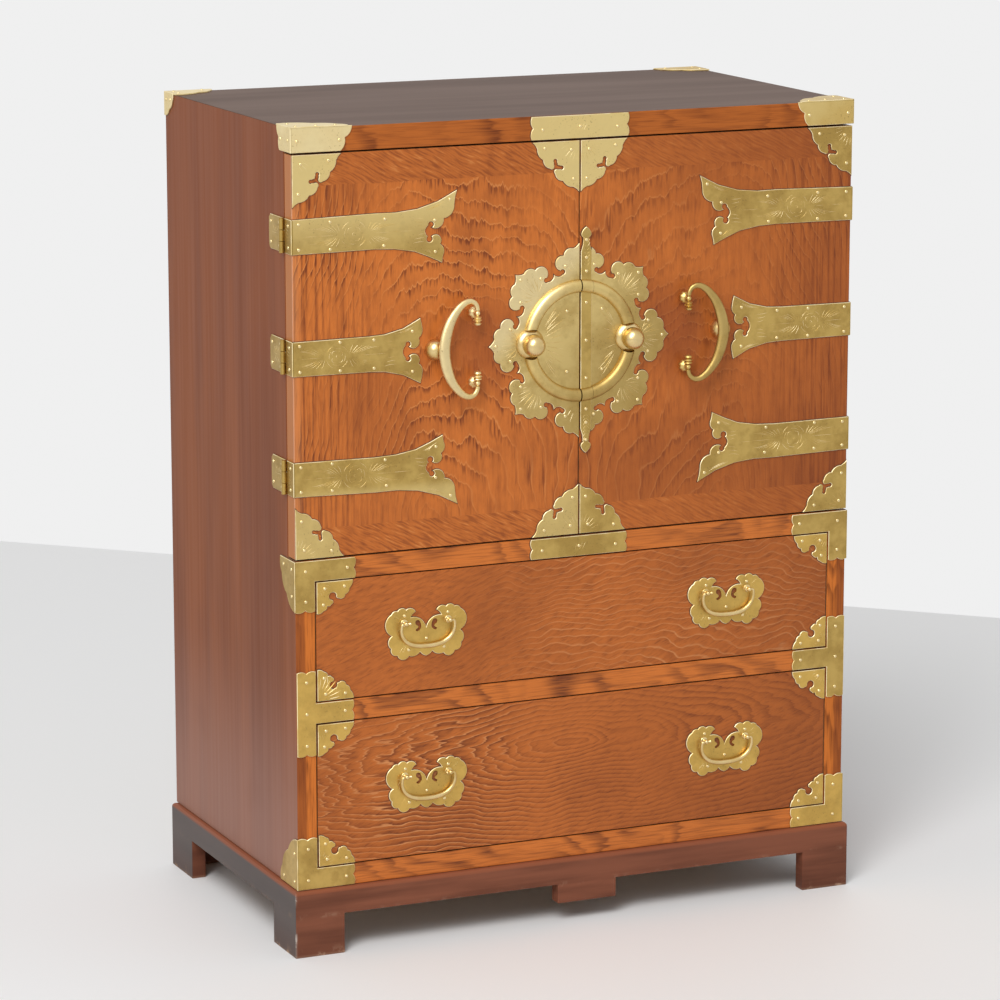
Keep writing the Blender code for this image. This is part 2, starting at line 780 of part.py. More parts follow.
def make_leaf(name, sign, z):
    """Make a hinge's leaf on the side of the case, with two knuckles and the pin."""
    tongue = STRAP_KNUCKLE / 2 + KNUCKLE_GAP
    shoulder = HINGE_DEPTH + KNUCKLE_REACH
    loop = [
        Vector((HINGE_DEPTH, z - HINGE_HALF_HEIGHT)),
        Vector((LEAF_REACH - LEAF_CLIP, z - HINGE_HALF_HEIGHT)),
        Vector((LEAF_REACH, z - HINGE_HALF_HEIGHT + LEAF_CLIP)),
        Vector((LEAF_REACH, z + HINGE_HALF_HEIGHT - LEAF_CLIP)),
        Vector((LEAF_REACH - LEAF_CLIP, z + HINGE_HALF_HEIGHT)),
        Vector((HINGE_DEPTH, z + HINGE_HALF_HEIGHT)),
        Vector((HINGE_DEPTH, z + tongue)),
        Vector((shoulder, z + tongue)),
        Vector((shoulder, z - tongue)),
        Vector((HINGE_DEPTH, z - tongue)),
    ]
    leaf = side_plate("leaf", loop, sign)
    axis_x = sign * HINGE_X
    near = tongue - FOLD_STEP
    far = HINGE_HALF_HEIGHT + FOLD_STEP
    upper = rod("upper", world(axis_x, HINGE_DEPTH, z + near),
                world(axis_x, HINGE_DEPTH, z + far), BARREL_RADIUS)
    lower = rod("lower", world(axis_x, HINGE_DEPTH, z - far),
                world(axis_x, HINGE_DEPTH, z - near), BARREL_RADIUS)
    pin_half = tongue + OVERRUN
    pin = rod("pin", world(axis_x, HINGE_DEPTH, z - pin_half),
              world(axis_x, HINGE_DEPTH, z + pin_half), PIN_RADIUS)
    keep(joined(leaf, upper, lower, pin), name, SHEET_BRASS, smooth=True)


def make_hinges():
    """Make the three hinges of each door."""
    rows = (("top", STRAP_SPACING, False, False), ("middle", 0, True, False),
            ("bottom", -STRAP_SPACING, False, True))
    for word, sign in SIDES:
        for row, rise, middle, turned_over in rows:
            z = DOOR_CENTRE + rise
            make_strap(f"strap_{word}_{row}", sign, z, strap_outline(middle, turned_over))
            make_leaf(f"leaf_{word}_{row}", sign, z)


# Lock plate, closing strip and knobs


def lock_outline():
    """Return the outline of the plate with its lobes."""
    half = scaled(LOBE_SHARES, LOCK_REACH, LOCK_REACH)
    step = 2 * math.pi / LOBES
    cusp_reach = LOCK_REACH * MID_CUSP_SHARE
    cusp = (cusp_reach * math.cos(step / 2), cusp_reach * math.sin(step / 2))
    points = [(cusp[0], -cusp[1], half[-1][2])]
    for index in range(len(half) - 1, 0, -1):
        points.append((half[index][0], -half[index][1], half[index - 1][2]))
    points.extend(half)
    loop = []
    for turn in range(LOBES):
        swing = Matrix.Rotation(turn * step, 2)
        for here, after in zip(points, (*points[1:], (*cusp, 0))):
            start = swing @ Vector(here[:2])
            end = swing @ Vector(after[:2])
            loop.extend(arc(start, end, here[2]))
    return loop


def ring(frame, base):
    """Return the raised half-round ring, reaching down to a base height."""
    profile = [(RING_RADIUS + RING_WIDTH / 2, base)]
    for step in range(RING_PROFILE_STEPS + 1):
        angle = math.pi * step / RING_PROFILE_STEPS
        profile.append((RING_RADIUS + RING_WIDTH / 2 * math.cos(angle),
                        RING_HEIGHT * math.sin(angle)))
    profile.append((RING_RADIUS - RING_WIDTH / 2, base))
    return turned("ring", profile, frame, RING_STEPS, closed=True)


def make_lock_plates():
    """Make the left and right parts of the lock plate with the ring."""
    surface = front_frame(-PLATE_OUT) @ Matrix.Translation((0, LOCK_CENTRE, 0))
    reach = LOCK_REACH + OVERRUN
    for word, sign in SIDES:
        plate = front_plate("plate", [placed(lock_outline(), 0, LOCK_CENTRE)])
        seat = drill("seat", world(sign * KNOB_OFFSET, 0, LOCK_CENTRE),
                   world(sign * KNOB_OFFSET, -PLATE_OUT - RING_HEIGHT - OVERRUN, LOCK_CENTRE),
                   COLLAR_RADIUS + SEAT_GAP)
        relief = cut(ring(surface, -PLATE / 2), seat)
        inner = LOCK_RIGHT_EDGE if sign > 0 else -SEAM_GAP / 2
        low = min(inner, sign * reach)
        high = max(inner, sign * reach)
        half = box("half", world(low, -PLATE_OUT - RING_HEIGHT - OVERRUN, LOCK_CENTRE - reach),
                   world(high, 0, LOCK_CENTRE + reach))
        lock = clipped(joined(plate, relief), half)
        keep(lock, f"lock_plate_{word}", SHEET_BRASS, smooth=True)


def make_closing_strip():
    """Make the strip on the right door's edge, with its finials and bits of the ring."""
    lower = scaled(STRIP_SHARES, STRIP_WIDTH / 2, STRIP_REACH)
    loop = placed(outline(mirrored(heightened(lower))), STRIP_CENTRE, LOCK_CENTRE)
    strip = front_plate("strip", [loop], STRIP_THICKNESS)
    surface = front_frame(-PLATE_OUT) @ Matrix.Translation((0, LOCK_CENTRE, 0))
    reach = RING_RADIUS + RING_WIDTH
    half_width = STRIP_WIDTH / 2 - FOLD_STEP
    clip = box("clip", world(STRIP_CENTRE - half_width, -PLATE_OUT - RING_HEIGHT - OVERRUN,
                             LOCK_CENTRE - reach),
               world(STRIP_CENTRE + half_width, 0, LOCK_CENTRE + reach))
    pieces = clipped(ring(surface, 0), clip)
    keep(joined(strip, pieces), "closing_strip", SHEET_BRASS, smooth=True)


def make_knobs():
    """Make the two knobs on their domed collars."""
    neck = COLLAR_RADIUS * COLLAR_SHARES[-1][0]
    profile = ball_profile(KNOB_CENTRE_HEIGHT, KNOB_RADIUS, neck)
    for share_radius, share_height in COLLAR_SHARES[::-1]:
        profile.append((COLLAR_RADIUS * share_radius, COLLAR_HEIGHT * share_height))
    profile.append((0, 0))
    for word, sign in SIDES:
        frame = front_frame(-PLATE_OUT - SEAT_GAP) @ Matrix.Translation(
            (sign * KNOB_OFFSET, LOCK_CENTRE, 0))
        knob = turned("knob", profile, frame, KNOB_STEPS)
        keep(knob, f"knob_{word}", CAST_BRASS, smooth=True)


# Door handles


def post(name, frame, height, foot_radius, eye_radius):
    """Return a turned post with a domed foot and a ball at its head."""
    stem = foot_radius * POST_FOOT_SHARES[0][0]
    profile = ball_profile(height, eye_radius, min(stem, eye_radius * NECK_SHARE))
    for share_radius, share_height in POST_FOOT_SHARES:
        profile.append((foot_radius * share_radius, height * share_height))
    profile.append((foot_radius, 0))
    profile.append((0, 0))
    return turned(name, profile, frame, POST_SIDES)


def make_handle_posts():
    """Make the four posts that carry the door handles' bails."""
    pin = HANDLE_PIN + BORE_CLEARANCE
    for word, sign in SIDES:
        for level, rise in (("upper", HANDLE_POST_SPACING), ("lower", -HANDLE_POST_SPACING)):
            x = sign * HANDLE_OFFSET
            z = DOOR_CENTRE + rise
            frame = front_frame(-SEAT_GAP) @ Matrix.Translation((x, z, 0))
            height = HANDLE_POST_HEIGHT - SEAT_GAP
            piece = post("post", frame, height, HANDLE_POST_BASE, HANDLE_EYE)
            bore = drill("bore", world(x, -HANDLE_POST_HEIGHT, z - HANDLE_EYE - OVERRUN),
                       world(x, -HANDLE_POST_HEIGHT, z + HANDLE_EYE + OVERRUN), pin)
            keep(cut(piece, bore), f"handle_post_{word}_{level}", CAST_BRASS, smooth=True)


def handle_bail_path():
    """Return the upper half of a handle bail, from its finial to its middle."""
    eye_half = math.sqrt(HANDLE_EYE ** 2 - HANDLE_PIN ** 2) + SEAT_GAP
    inner = HANDLE_POST_SPACING - eye_half
    outer = HANDLE_POST_SPACING + eye_half
    path = []
    for share_place, share_radius in HANDLE_FINIAL_SHARES:
        along = inner - HANDLE_FINIAL_LENGTH * share_place
        path.append((0, along, HANDLE_PIN * share_radius))
    path.append((0, inner, HANDLE_PIN))
    path.append((0, outer, HANDLE_PIN))
    for share_out, share_along, share_radius in HANDLE_BAIL_SHARES:
        path.append((HANDLE_REACH * share_out, HANDLE_SPAN * share_along,
                     HANDLE_BAIL_RADIUS * share_radius))
    return path


def make_handle_bails():
    """Make the two door bails at rest on their bumpers."""
    upper = handle_bail_path()
    lower = [(out, -along, radius) for out, along, radius in upper[-2::-1]]
    path = [*upper, *lower]
    squash = HANDLE_BAIL_THICKNESS / 2 / HANDLE_BAIL_RADIUS
    for word, sign in SIDES:
        bail = tube("bail", [(out, along, 0) for out, along, _ in path],
                    [radius for _, _, radius in path])
        for corner in bail.data.vertices:
            share = min(max(corner.co.x / HANDLE_REACH, 0), 1)
            corner.co.z *= 1 + (squash - 1) * share
        pose = (front_frame(-HANDLE_POST_HEIGHT)
                @ Matrix.Translation((sign * HANDLE_OFFSET, DOOR_CENTRE, 0))
                @ Matrix.Scale(sign, 4, (1, 0, 0))
                @ Matrix.Rotation(-HANDLE_TILT, 4, "Y"))
        bail.data.transform(pose)
        tidy(bail.data)
        keep(bail, f"handle_bail_{word}", CAST_BRASS, smooth=True)


def make_bumpers():
    """Make the domes on which the door bails rest."""
    profile = [(BUMPER_RADIUS * share_radius, (BUMPER_HEIGHT - SEAT_GAP) * share_height)
               for share_radius, share_height in DOME_SHARES]
    profile.append((BUMPER_RADIUS, 0))
    profile.append((0, 0))
    for word, sign in SIDES:
        frame = front_frame(-SEAT_GAP) @ Matrix.Translation(
            (sign * (HANDLE_OFFSET + BUMPER_OFFSET), DOOR_CENTRE, 0))
        dome = turned("bumper", profile, frame, KNOB_STEPS)
        keep(dome, f"bumper_{word}", CAST_BRASS, smooth=True)


# Drawers and their pulls


def drawer_levels():
    """Return each drawer's name with the bottom and top of its opening."""
    return (("upper", UPPER_LOW, UPPER_HIGH), ("lower", LOWER_LOW, LOWER_HIGH))


def make_drawers():
    """Make the drawer fronts and the boxes behind them."""
    half = HALF_WIDTH - SIDE_THICKNESS - DRAWER_GAP
    start = DRAWER_FRONT + SEAT_GAP
    end = DRAWER_FRONT + DRAWER_BOX_LENGTH
    for word, low, high in drawer_levels():
        front = board("front", half, 0, DRAWER_FRONT, low + DRAWER_GAP, high - DRAWER_GAP)
        keep(front, f"drawer_front_{word}", DOOR_WOOD)
        base = low + RUNNER_GAP
        tray = board("tray", half, start, end, base, high - DRAWER_HEADROOM)
        hollow = board("hollow", half - DRAWER_SIDE, start - OVERRUN, end - DRAWER_SIDE,
                       base + DRAWER_FLOOR, high + OVERRUN)
        keep(cut(tray, hollow), f"drawer_box_{word}", INNER_WOOD)


def pull_centre(low, high):
    """Return the height of a pull's centre on a drawer."""
    return (low + high) / 2 - PULL_DROP


def make_pull_plate(name, x, z):
    """Make a pull's lobed plate with its two posts."""
    half_width = PULL_WIDTH / 2
    half_height = PULL_HEIGHT / 2
    loop = placed(outline(mirrored(scaled(PULL_SHARES, half_width, half_height))), x, z)
    hook = outline(scaled(PULL_CUTOUT_SHARES, half_width, half_height))
    plate = front_plate("plate", [loop, placed(hook, x, z), placed(hook, x, z, -1)])
    eyes = []
    bores = []
    for sign in (-1, 1):
        post_x = x + sign * PULL_POST_OFFSET
        post_z = z + PULL_POST_RISE
        frame = front_frame(-PLATE_MIDDLE) @ Matrix.Translation((post_x, post_z, 0))
        height = PULL_POST_HEIGHT - PLATE_MIDDLE
        eyes.append(post("post", frame, height, PULL_STEM / POST_FOOT_SHARES[0][0], PULL_EYE))
        reach = PULL_EYE + OVERRUN
        bores.append(drill("bore", world(post_x - reach, -PULL_POST_HEIGHT, post_z),
                         world(post_x + reach, -PULL_POST_HEIGHT, post_z),
                         PULL_PIN + BORE_CLEARANCE))
    keep(cut(joined(plate, *eyes), *bores), name, SHEET_BRASS, smooth=True)


def pull_bail_path():
    """Return the right half of a pull's bail, from its finial to its middle."""
    eye_half = math.sqrt(PULL_EYE ** 2 - PULL_PIN ** 2) + SEAT_GAP
    inner = PULL_POST_OFFSET - eye_half
    outer = PULL_POST_OFFSET + eye_half
    path = [(inner - PULL_FINIAL_LENGTH * share_place, 0, PULL_PIN * share_radius)
            for share_place, share_radius in PULL_FINIAL_SHARES]
    path.append((inner, 0, PULL_PIN))
    path.append((outer, 0, PULL_PIN))
    for share_out, share_down, share_radius in PULL_BAIL_SHARES:
        path.append((PULL_BAIL_HALF_WIDTH * share_out, -PULL_BAIL_DROP * share_down,
                     PULL_BAIL_RADIUS * share_radius))
    return path


def make_pull_bail(name, x, z):
    """Make a pull's bail, hanging against its plate."""
    right = pull_bail_path()
    left = [(-out, down, radius) for out, down, radius in right[-2::-1]]
    path = [*right, *left]
    bail = tube("bail", [(out, down, 0) for out, down, _ in path],
                [radius for _, _, radius in path])
    pose = (front_frame(-PULL_POST_HEIGHT)
            @ Matrix.Translation((x, z + PULL_POST_RISE, 0))
            @ Matrix.Rotation(PULL_TILT, 4, "X"))
    bail.data.transform(pose)
    tidy(bail.data)
    keep(bail, name, CAST_BRASS, smooth=True)


def make_pulls():
    """Make the pulls of both drawers."""
    for level, low, high in drawer_levels():
        z = pull_centre(low, high)
        for word, sign in SIDES:
            make_pull_plate(f"pull_plate_{level}_{word}", sign * PULL_OFFSET, z)
            make_pull_bail(f"pull_bail_{level}_{word}", sign * PULL_OFFSET, z)


# Corner and edge mounts


def make_lid_caps():
    """Make the caps on the four corners of the top, and the plate in its front edge."""
    height = TOP_THICKNESS - MOUNT_MARGIN
    for word, sign in SIDES:
        face_drop = PLATE_MIDDLE + height
        face_points = [(0, -face_drop, 0),
                       *bumps((CAP_LENGTH * CAP_LOWER_SHARE, -face_drop), (CAP_LENGTH, 0), 2,
                              END_BUMP),
                       (CAP_LENGTH, 0, 0), (0, 0, 0)]
        face = front_plate("face", [placed(outline(face_points), sign * FOLD_EDGE,
                                           HEIGHT + PLATE_MIDDLE, -sign)])
        side_top = HEIGHT + PLATE_OUT + FOLD_STEP
        side_drop = PLATE_OUT + height
        side_points = [(0, -side_drop, 0),
                       *bumps((CAP_SIDE_LENGTH * CAP_LOWER_SHARE, -side_drop),
                              (CAP_SIDE_LENGTH, 0), 2, END_BUMP),
                       (CAP_SIDE_LENGTH, 0, 0), (0, 0, 0)]
        side = side_plate("side", placed(outline(side_points), -PLATE_OUT - 2 * FOLD_STEP,
                                         side_top), sign)
        edge = sign * (FOLD_EDGE + FOLD_STEP)
        lid = top_plate("lid", placed(quarter(CAP_TOP_LENGTH, CAP_TOP_DEPTH, SIDE_BUMP), edge,
                                      -PLATE_OUT - FOLD_STEP, -sign))
        keep(joined(face, side, lid), f"cap_front_{word}", SHEET_BRASS, smooth=True)
        back_lid = top_plate("lid", placed(quarter(BACK_CAP_LENGTH, BACK_CAP_DEPTH, SIDE_BUMP),
                                           edge, DEPTH - FOLD_STEP, -sign, -1))
        back_side = side_plate("side", placed(quarter(BACK_CAP_SIDE, side_drop, SIDE_BUMP),
                                              DEPTH, side_top, -1, -1), sign)
        keep(joined(back_lid, back_side), f"cap_back_{word}", SHEET_BRASS, smooth=True)
    keep(edge_plate(CUPBOARD_HIGH, TOP_THICKNESS), "lid_plate", SHEET_BRASS)


def edge_plate(low, board_height):
    """Return a plate on the front edge of a board, with bumps at both ends."""
    bottom = low + MOUNT_MARGIN
    top = low + board_height - MOUNT_MARGIN
    points = [*bumps((EDGE_PLATE_HALF, bottom), (EDGE_PLATE_HALF, top), 2, END_BUMP),
              (EDGE_PLATE_HALF, top, 0),
              *bumps((-EDGE_PLATE_HALF, top), (-EDGE_PLATE_HALF, bottom), 2, END_BUMP),
              (-EDGE_PLATE_HALF, bottom, 0)]
    return front_plate("edge_plate", [outline(points)])


def make_rail_mounts():
    """Make the plate and the corner brackets at the rail under the doors."""
    keep(edge_plate(UPPER_HIGH, RAIL_HEIGHT), "rail_plate", SHEET_BRASS)
    width = SIDE_THICKNESS - MOUNT_MARGIN + PLATE_MIDDLE
    height = RAIL_HEIGHT - MOUNT_MARGIN
    arm = RAIL_BRACKET_ARM + PLATE_MIDDLE
    top = CUPBOARD_LOW - MOUNT_MARGIN
    points = [*bumps((0, -RAIL_BRACKET_DROP), (width, -RAIL_BRACKET_DROP), 2, END_BUMP),
              (width, -RAIL_BRACKET_DROP, 0), (width, -height, 0),
              *bumps((arm, -height), (arm, 0), 2, END_BUMP), (arm, 0, 0), (0, 0, 0)]
    for word, sign in SIDES:
        face = front_plate("face", [placed(outline(points), sign * FOLD_EDGE, top, -sign)])
        loop = quarter(RAIL_BRACKET_SIDE + PLATE_OUT, RAIL_BRACKET_DROP, SIDE_BUMP)
        side = side_plate("side", placed(loop, -PLATE_OUT - FOLD_STEP, top - FOLD_STEP, 1, -1),
                          sign)
        keep(joined(face, side), f"rail_bracket_{word}", SHEET_BRASS, smooth=True)


def make_tee_brackets():
    """Make the T brackets between the drawers."""
    middle = LOWER_HIGH + RAIL_HEIGHT / 2
    width = SIDE_THICKNESS - MOUNT_MARGIN
    half = RAIL_HEIGHT / 2 - MOUNT_MARGIN
    points = [*bumps((0, -TEE_HALF_HEIGHT), (width, -TEE_HALF_HEIGHT), 2, END_BUMP),
              (width, -TEE_HALF_HEIGHT, 0), (width, -half, 0),
              *bumps((TEE_ARM, -half), (TEE_ARM, half), 2, END_BUMP),
              (TEE_ARM, half, 0), (width, half, 0),
              *bumps((width, TEE_HALF_HEIGHT), (0, TEE_HALF_HEIGHT), 2, END_BUMP),
              (0, TEE_HALF_HEIGHT, 0)]
    for word, sign in SIDES:
        loop = placed(outline(points), sign * HALF_WIDTH, middle, -sign)
        keep(front_plate("tee", [loop]), f"tee_bracket_{word}", SHEET_BRASS)


def make_foot_brackets():
    """Make the corner brackets at the bottom rail."""
    width = SIDE_THICKNESS - MOUNT_MARGIN + PLATE_MIDDLE
    height = RAIL_HEIGHT - MOUNT_MARGIN
    arm = FOOT_BRACKET_ARM + PLATE_MIDDLE
    base = PLINTH_HEIGHT + MOUNT_MARGIN
    points = [(0, 0, 0), *bumps((arm, 0), (arm, height), 2, END_BUMP), (arm, height, 0),
              (width, height, 0),
              *bumps((width, FOOT_BRACKET_RISE), (0, FOOT_BRACKET_RISE), 2, END_BUMP),
              (0, FOOT_BRACKET_RISE, 0)]
    for word, sign in SIDES:
        face = front_plate("face", [placed(outline(points), sign * FOLD_EDGE, base, -sign)])
        loop = quarter(FOOT_BRACKET_SIDE + PLATE_OUT, FOOT_BRACKET_RISE, SIDE_BUMP)
        side = side_plate("side", placed(loop, -PLATE_OUT - FOLD_STEP, base + FOLD_STEP), sign)
        keep(joined(face, side), f"foot_bracket_{word}", SHEET_BRASS, smooth=True)


# Joint axes


def hang(empty_name, place, piece_names, parent=None):
    """Put an empty on a joint's axis and parent the moving pieces to it."""
    empty = bpy.data.objects.new(empty_name, None)
    PARTS.objects.link(empty)
    empty.location = place
    bpy.context.view_layer.update()
    if parent is not None:
        empty.parent = parent
        empty.matrix_parent_inverse = parent.matrix_world.inverted()
    bpy.context.view_layer.update()
    for name in piece_names:
        piece = PARTS.objects[name]
        piece.parent = empty
        piece.matrix_parent_inverse = empty.matrix_world.inverted()
    return empty


def make_joints():
    """Parent what moves to empties on the door, drawer and bail axes."""
    for word, sign in SIDES:
        names = [f"door_{word}", f"lock_plate_{word}", f"knob_{word}", f"bumper_{word}",
                 f"handle_post_{word}_upper", f"handle_post_{word}_lower"]
        names.extend(f"strap_{word}_{row}" for row in ("top", "middle", "bottom"))
        if sign > 0:
            names.append("closing_strip")
        door = hang(f"door_{word}_axis", world(sign * HINGE_X, HINGE_DEPTH, DOOR_CENTRE), names)
        hang(f"handle_{word}_axis",
             world(sign * HANDLE_OFFSET, -HANDLE_POST_HEIGHT, DOOR_CENTRE),
             [f"handle_bail_{word}"], door)
    for level, low, high in drawer_levels():
        z = pull_centre(low, high)
        names = [f"drawer_front_{level}", f"drawer_box_{level}",
                 f"pull_plate_{level}_left", f"pull_plate_{level}_right"]
        drawer = hang(f"drawer_{level}_slide", world(0, 0, z), names)
        for word, sign in SIDES:
            hang(f"pull_{level}_{word}_axis",
                 world(sign * PULL_OFFSET, -PULL_POST_HEIGHT, z + PULL_POST_RISE),
                 [f"pull_bail_{level}_{word}"], drawer)


def main():
    """Make the whole cabinet."""
    make_sides()
    make_boards()
    make_plinth()
    make_doors()
    make_hinges()
    make_lock_plates()
    make_closing_strip()
    make_knobs()
    make_handle_posts()
    make_handle_bails()
    make_bumpers()
    make_drawers()
    make_pulls()
    make_lid_caps()
    make_rail_mounts()
    make_tee_brackets()
    make_foot_brackets()
    make_joints()


main()
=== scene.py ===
"""Looks of the side cabinet, laid out as an add-on and run as a script.

Lengths are in metres. The front faces -Y, +X is to the right of someone who faces it, +Z is up.
"""

import math

import bpy
from bpy.props import FloatProperty, FloatVectorProperty, IntProperty, PointerProperty
from mathutils import Matrix, Vector


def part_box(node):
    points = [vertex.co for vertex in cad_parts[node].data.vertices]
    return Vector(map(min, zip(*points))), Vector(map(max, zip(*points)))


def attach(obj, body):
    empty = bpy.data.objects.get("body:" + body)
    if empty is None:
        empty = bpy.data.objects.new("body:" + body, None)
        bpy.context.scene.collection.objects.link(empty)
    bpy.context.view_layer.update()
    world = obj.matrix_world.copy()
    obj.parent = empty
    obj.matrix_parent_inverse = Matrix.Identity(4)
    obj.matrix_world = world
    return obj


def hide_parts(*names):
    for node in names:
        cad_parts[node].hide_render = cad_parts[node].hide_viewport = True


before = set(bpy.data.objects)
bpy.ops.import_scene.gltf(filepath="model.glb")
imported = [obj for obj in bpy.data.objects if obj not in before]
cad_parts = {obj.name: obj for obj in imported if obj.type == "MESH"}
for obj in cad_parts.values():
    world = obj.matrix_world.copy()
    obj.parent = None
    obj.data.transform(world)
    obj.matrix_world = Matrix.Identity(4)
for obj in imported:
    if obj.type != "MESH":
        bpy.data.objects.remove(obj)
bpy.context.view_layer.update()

bl_info = {
    "name": "Side cabinet",
    "version": (1, 0, 0),
    "blender": (4, 5, 0),
    "location": "View3D > Sidebar > Side cabinet",
    "description": "Dresses a brass-mounted side cabinet",
    "category": "Object",
}

# Places taken from the solids
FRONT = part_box("door_left")[0].y
CASE_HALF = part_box("side_right")[1].x
CASE_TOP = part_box("top_board")[1].z
CASE_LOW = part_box("case_bottom")[0].z
CASE_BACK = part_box("side_right")[1].y
DOOR_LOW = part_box("door_left")[0].z
DOOR_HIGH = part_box("door_left")[1].z
DOOR_CENTRE = (DOOR_LOW + DOOR_HIGH) / 2
DOOR_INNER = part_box("door_right")[0].x
SIDES = (("left", -1), ("right", 1))
LEVELS = ("upper", "lower")

# Brass sheet and its edges
SEAT = 0.0003
PLATE = 0.0015
PLATE_OUT = SEAT + PLATE
MARGIN = 0.0004
FOLD_EDGE = CASE_HALF + SEAT + PLATE / 2
WAX_SHADOW_REACH = 0.0007
WAX_SHADOW_HEIGHT = 0.00012
MITRE_FLOOR = 0.45
WELD = 0.000001
FAR = 1.0

# Hinge straps
STRAP_SPACING = 0.1403
STRAP_LENGTH = 0.2045
STRAP_FLARE = 0.044
MIDDLE_STRAP_LENGTH = 0.1606
MIDDLE_STRAP_FLARE = 0.038
STRAP_MARKS = (0.076, 0.0155, 0.164)  # the medallion's centre and reach, and the notch
MIDDLE_STRAP_MARKS = (0.0545, 0.0135, 0.128)
HINGE_HALF_HEIGHT = 0.020
HINGE_DEPTH = 0.02275
LEAF_REACH = 0.068
LEAF_CLIP = 0.004
BARREL_RADIUS = 0.0032
STRAP_KNUCKLE = 0.013
KNUCKLE_GAP = 0.0004
HINGE_X = CASE_HALF + SEAT + PLATE / 4 + BARREL_RADIUS
HINGE_ROWS = (("top", DOOR_CENTRE + STRAP_SPACING), ("middle", DOOR_CENTRE),
              ("bottom", DOOR_CENTRE - STRAP_SPACING))

# Lock plate and closing strip
LOCK_REACH = 0.1165
LOBES = 8
RING_RADIUS = 0.065
RING_WIDTH = 0.0158
RING_HEIGHT = 0.0070
STRIP_WIDTH = 0.014
STRIP_THICKNESS = 0.003
STRIP_REACH = 0.1345
LOCK_CENTRE = DOOR_CENTRE - 0.0020
STRIP_CENTRE = DOOR_INNER + STRIP_WIDTH / 2
LOCK_RIGHT_EDGE = DOOR_INNER + STRIP_WIDTH + SEAT
SEAM_MARGIN = 0.003
SEAT_DEPTH = 0.02
KNOB_OFFSET = 0.064
KNOB_RADIUS = 0.0133
KNOB_HEIGHT = 0.0118
COLLAR_RADIUS = 0.0175
COLLAR_HEIGHT = 0.0058

# Door handles
HANDLE_OFFSET = 0.1365
HANDLE_SPACING = 0.041
HANDLE_POST = 0.014
HANDLE_POST_BASE = 0.0056
HANDLE_EYE = 0.0032
HANDLE_PIN = 0.0015
HANDLE_REACH = 0.044
HANDLE_SPAN = 0.056
HANDLE_FINIAL = 0.0114
HANDLE_RADIUS = 0.0070
HANDLE_THICKNESS = 0.0090
BUMPER_OFFSET = 0.0483
BUMPER_RADIUS = 0.0125
BUMPER_HEIGHT = 0.0142

# Drawer pulls
PULL_OFFSET = 0.197
PULL_WIDTH = 0.104
PULL_HEIGHT = 0.0634
PULL_DROP = 0.0003
PULL_POST_OFFSET = 0.028
PULL_POST_RISE = 0.0125
PULL_POST = 0.008
PULL_EYE = 0.0028
PULL_STEM = 0.0018
PULL_PIN = 0.0012
PULL_HALF_WIDTH = 0.0338
PULL_BAIL_DROP = 0.0288
PULL_RADIUS = 0.0029
PULL_FINIAL = 0.0036
HOOK_DEPTH = 0.004

# Outlines run anticlockwise; each point has a bulge, the sagitta of the arc to the next point
# over half its chord, which is positive where the arc stands out of the outline
LOBE_SHARES = (
    (1.000, 0.000, -0.15), (0.939, 0.070, 0.51), (0.871, 0.178, 0.99), (0.723, 0.210, -1.60),
    (0.682, 0.185, -0.44),
)
CUSP_REACH_SHARE = 0.7425
STRAP_SHARES = (
    (0.495, -0.434, -0.06), (0.739, -0.555, -0.03), (0.908, -0.891, -0.05), (0.916, -0.682, 0.42),
    (0.897, -0.402, 0.93), (0.845, -0.191, -2.60), (0.820, -0.184, -0.20),
    (0.804, -0.036, -0.20), (0.824, 0.116, -2.20), (0.846, 0.050, 0.63), (0.919, 0.273, 0.42),
    (0.984, 0.614, -0.08), (1.000, 1.000, -0.094), (0.757, 0.557, -0.057), (0.497, 0.505, 0.0),
)
MIDDLE_STRAP_SHARES = (
    (0.848, 0.000, -0.20), (0.869, 0.197, -2.20), (0.897, 0.145, 0.90), (0.971, 0.395, 0.32),
    (1.000, 0.684, 0.05), (0.984, 1.000, -0.12), (0.707, 0.574, 0.0), (0.588, 0.545, 0.0),
)
PULL_SHARES = (
    (0.000, -0.918, 0.20), (0.150, -0.754, 0.34), (0.423, -0.868, 0.68), (0.704, -0.817, 0.57),
    (0.860, -0.539, 0.54), (0.838, -0.057, 0.62), (0.848, 0.763, 0.41), (0.696, 0.868, 0.52),
    (0.488, 0.890, 0.50), (0.254, 0.789, -0.20), (0.373, 0.590, 0.40), (0.000, 0.174, 0.0),
)
PULL_CUTOUT_SHARES = (
    (0.262, 0.429, 0.60), (0.150, 0.391, 0.15), (0.127, 0.174, 0.20), (0.208, 0.047, 0.60),
    (0.258, 0.117, -0.20), (0.192, 0.205, -0.20), (0.250, 0.290, 0.25),
)
STRIP_SHARES = (
    (0.000, -1.000, 0.20), (0.930, -0.940, 0.35), (0.500, -0.905, -0.10), (1.000, -0.782, 0.0),
)
DOOR_CORNER = (
    (0.0598, 0.0000, -0.12), (0.0540, 0.0078, 0.30), (0.0464, 0.0208, 0.38),
    (0.0375, 0.0312, 0.80), (0.0323, 0.0283, -0.15), (0.0326, 0.0242, -1.82),
    (0.0286, 0.0236, -0.10), (0.0276, 0.0276, 0.0),
)
DRAWER_CORNER = (
    (0.0000, 0.0000, 0.0), (0.0454, 0.0000, 0.22), (0.0410, 0.0100, 0.38),
    (0.0358, 0.0166, 0.62), (0.0272, 0.0206, 0.55), (0.0244, 0.0176, -0.35),
    (0.0214, 0.0134, -0.55), (0.0154, 0.0180, -0.45), (0.0190, 0.0220, 0.75),
    (0.0184, 0.0272, 0.45), (0.0132, 0.0290, 0.40), (0.0086, 0.0346, 0.25),
    (0.0000, 0.0376, 0.0),
)
QUARTER_SHARES = ((0.90, 0.33), (0.56, 0.70))
BUMP = 0.30
CUSP_SHARE = 0.12

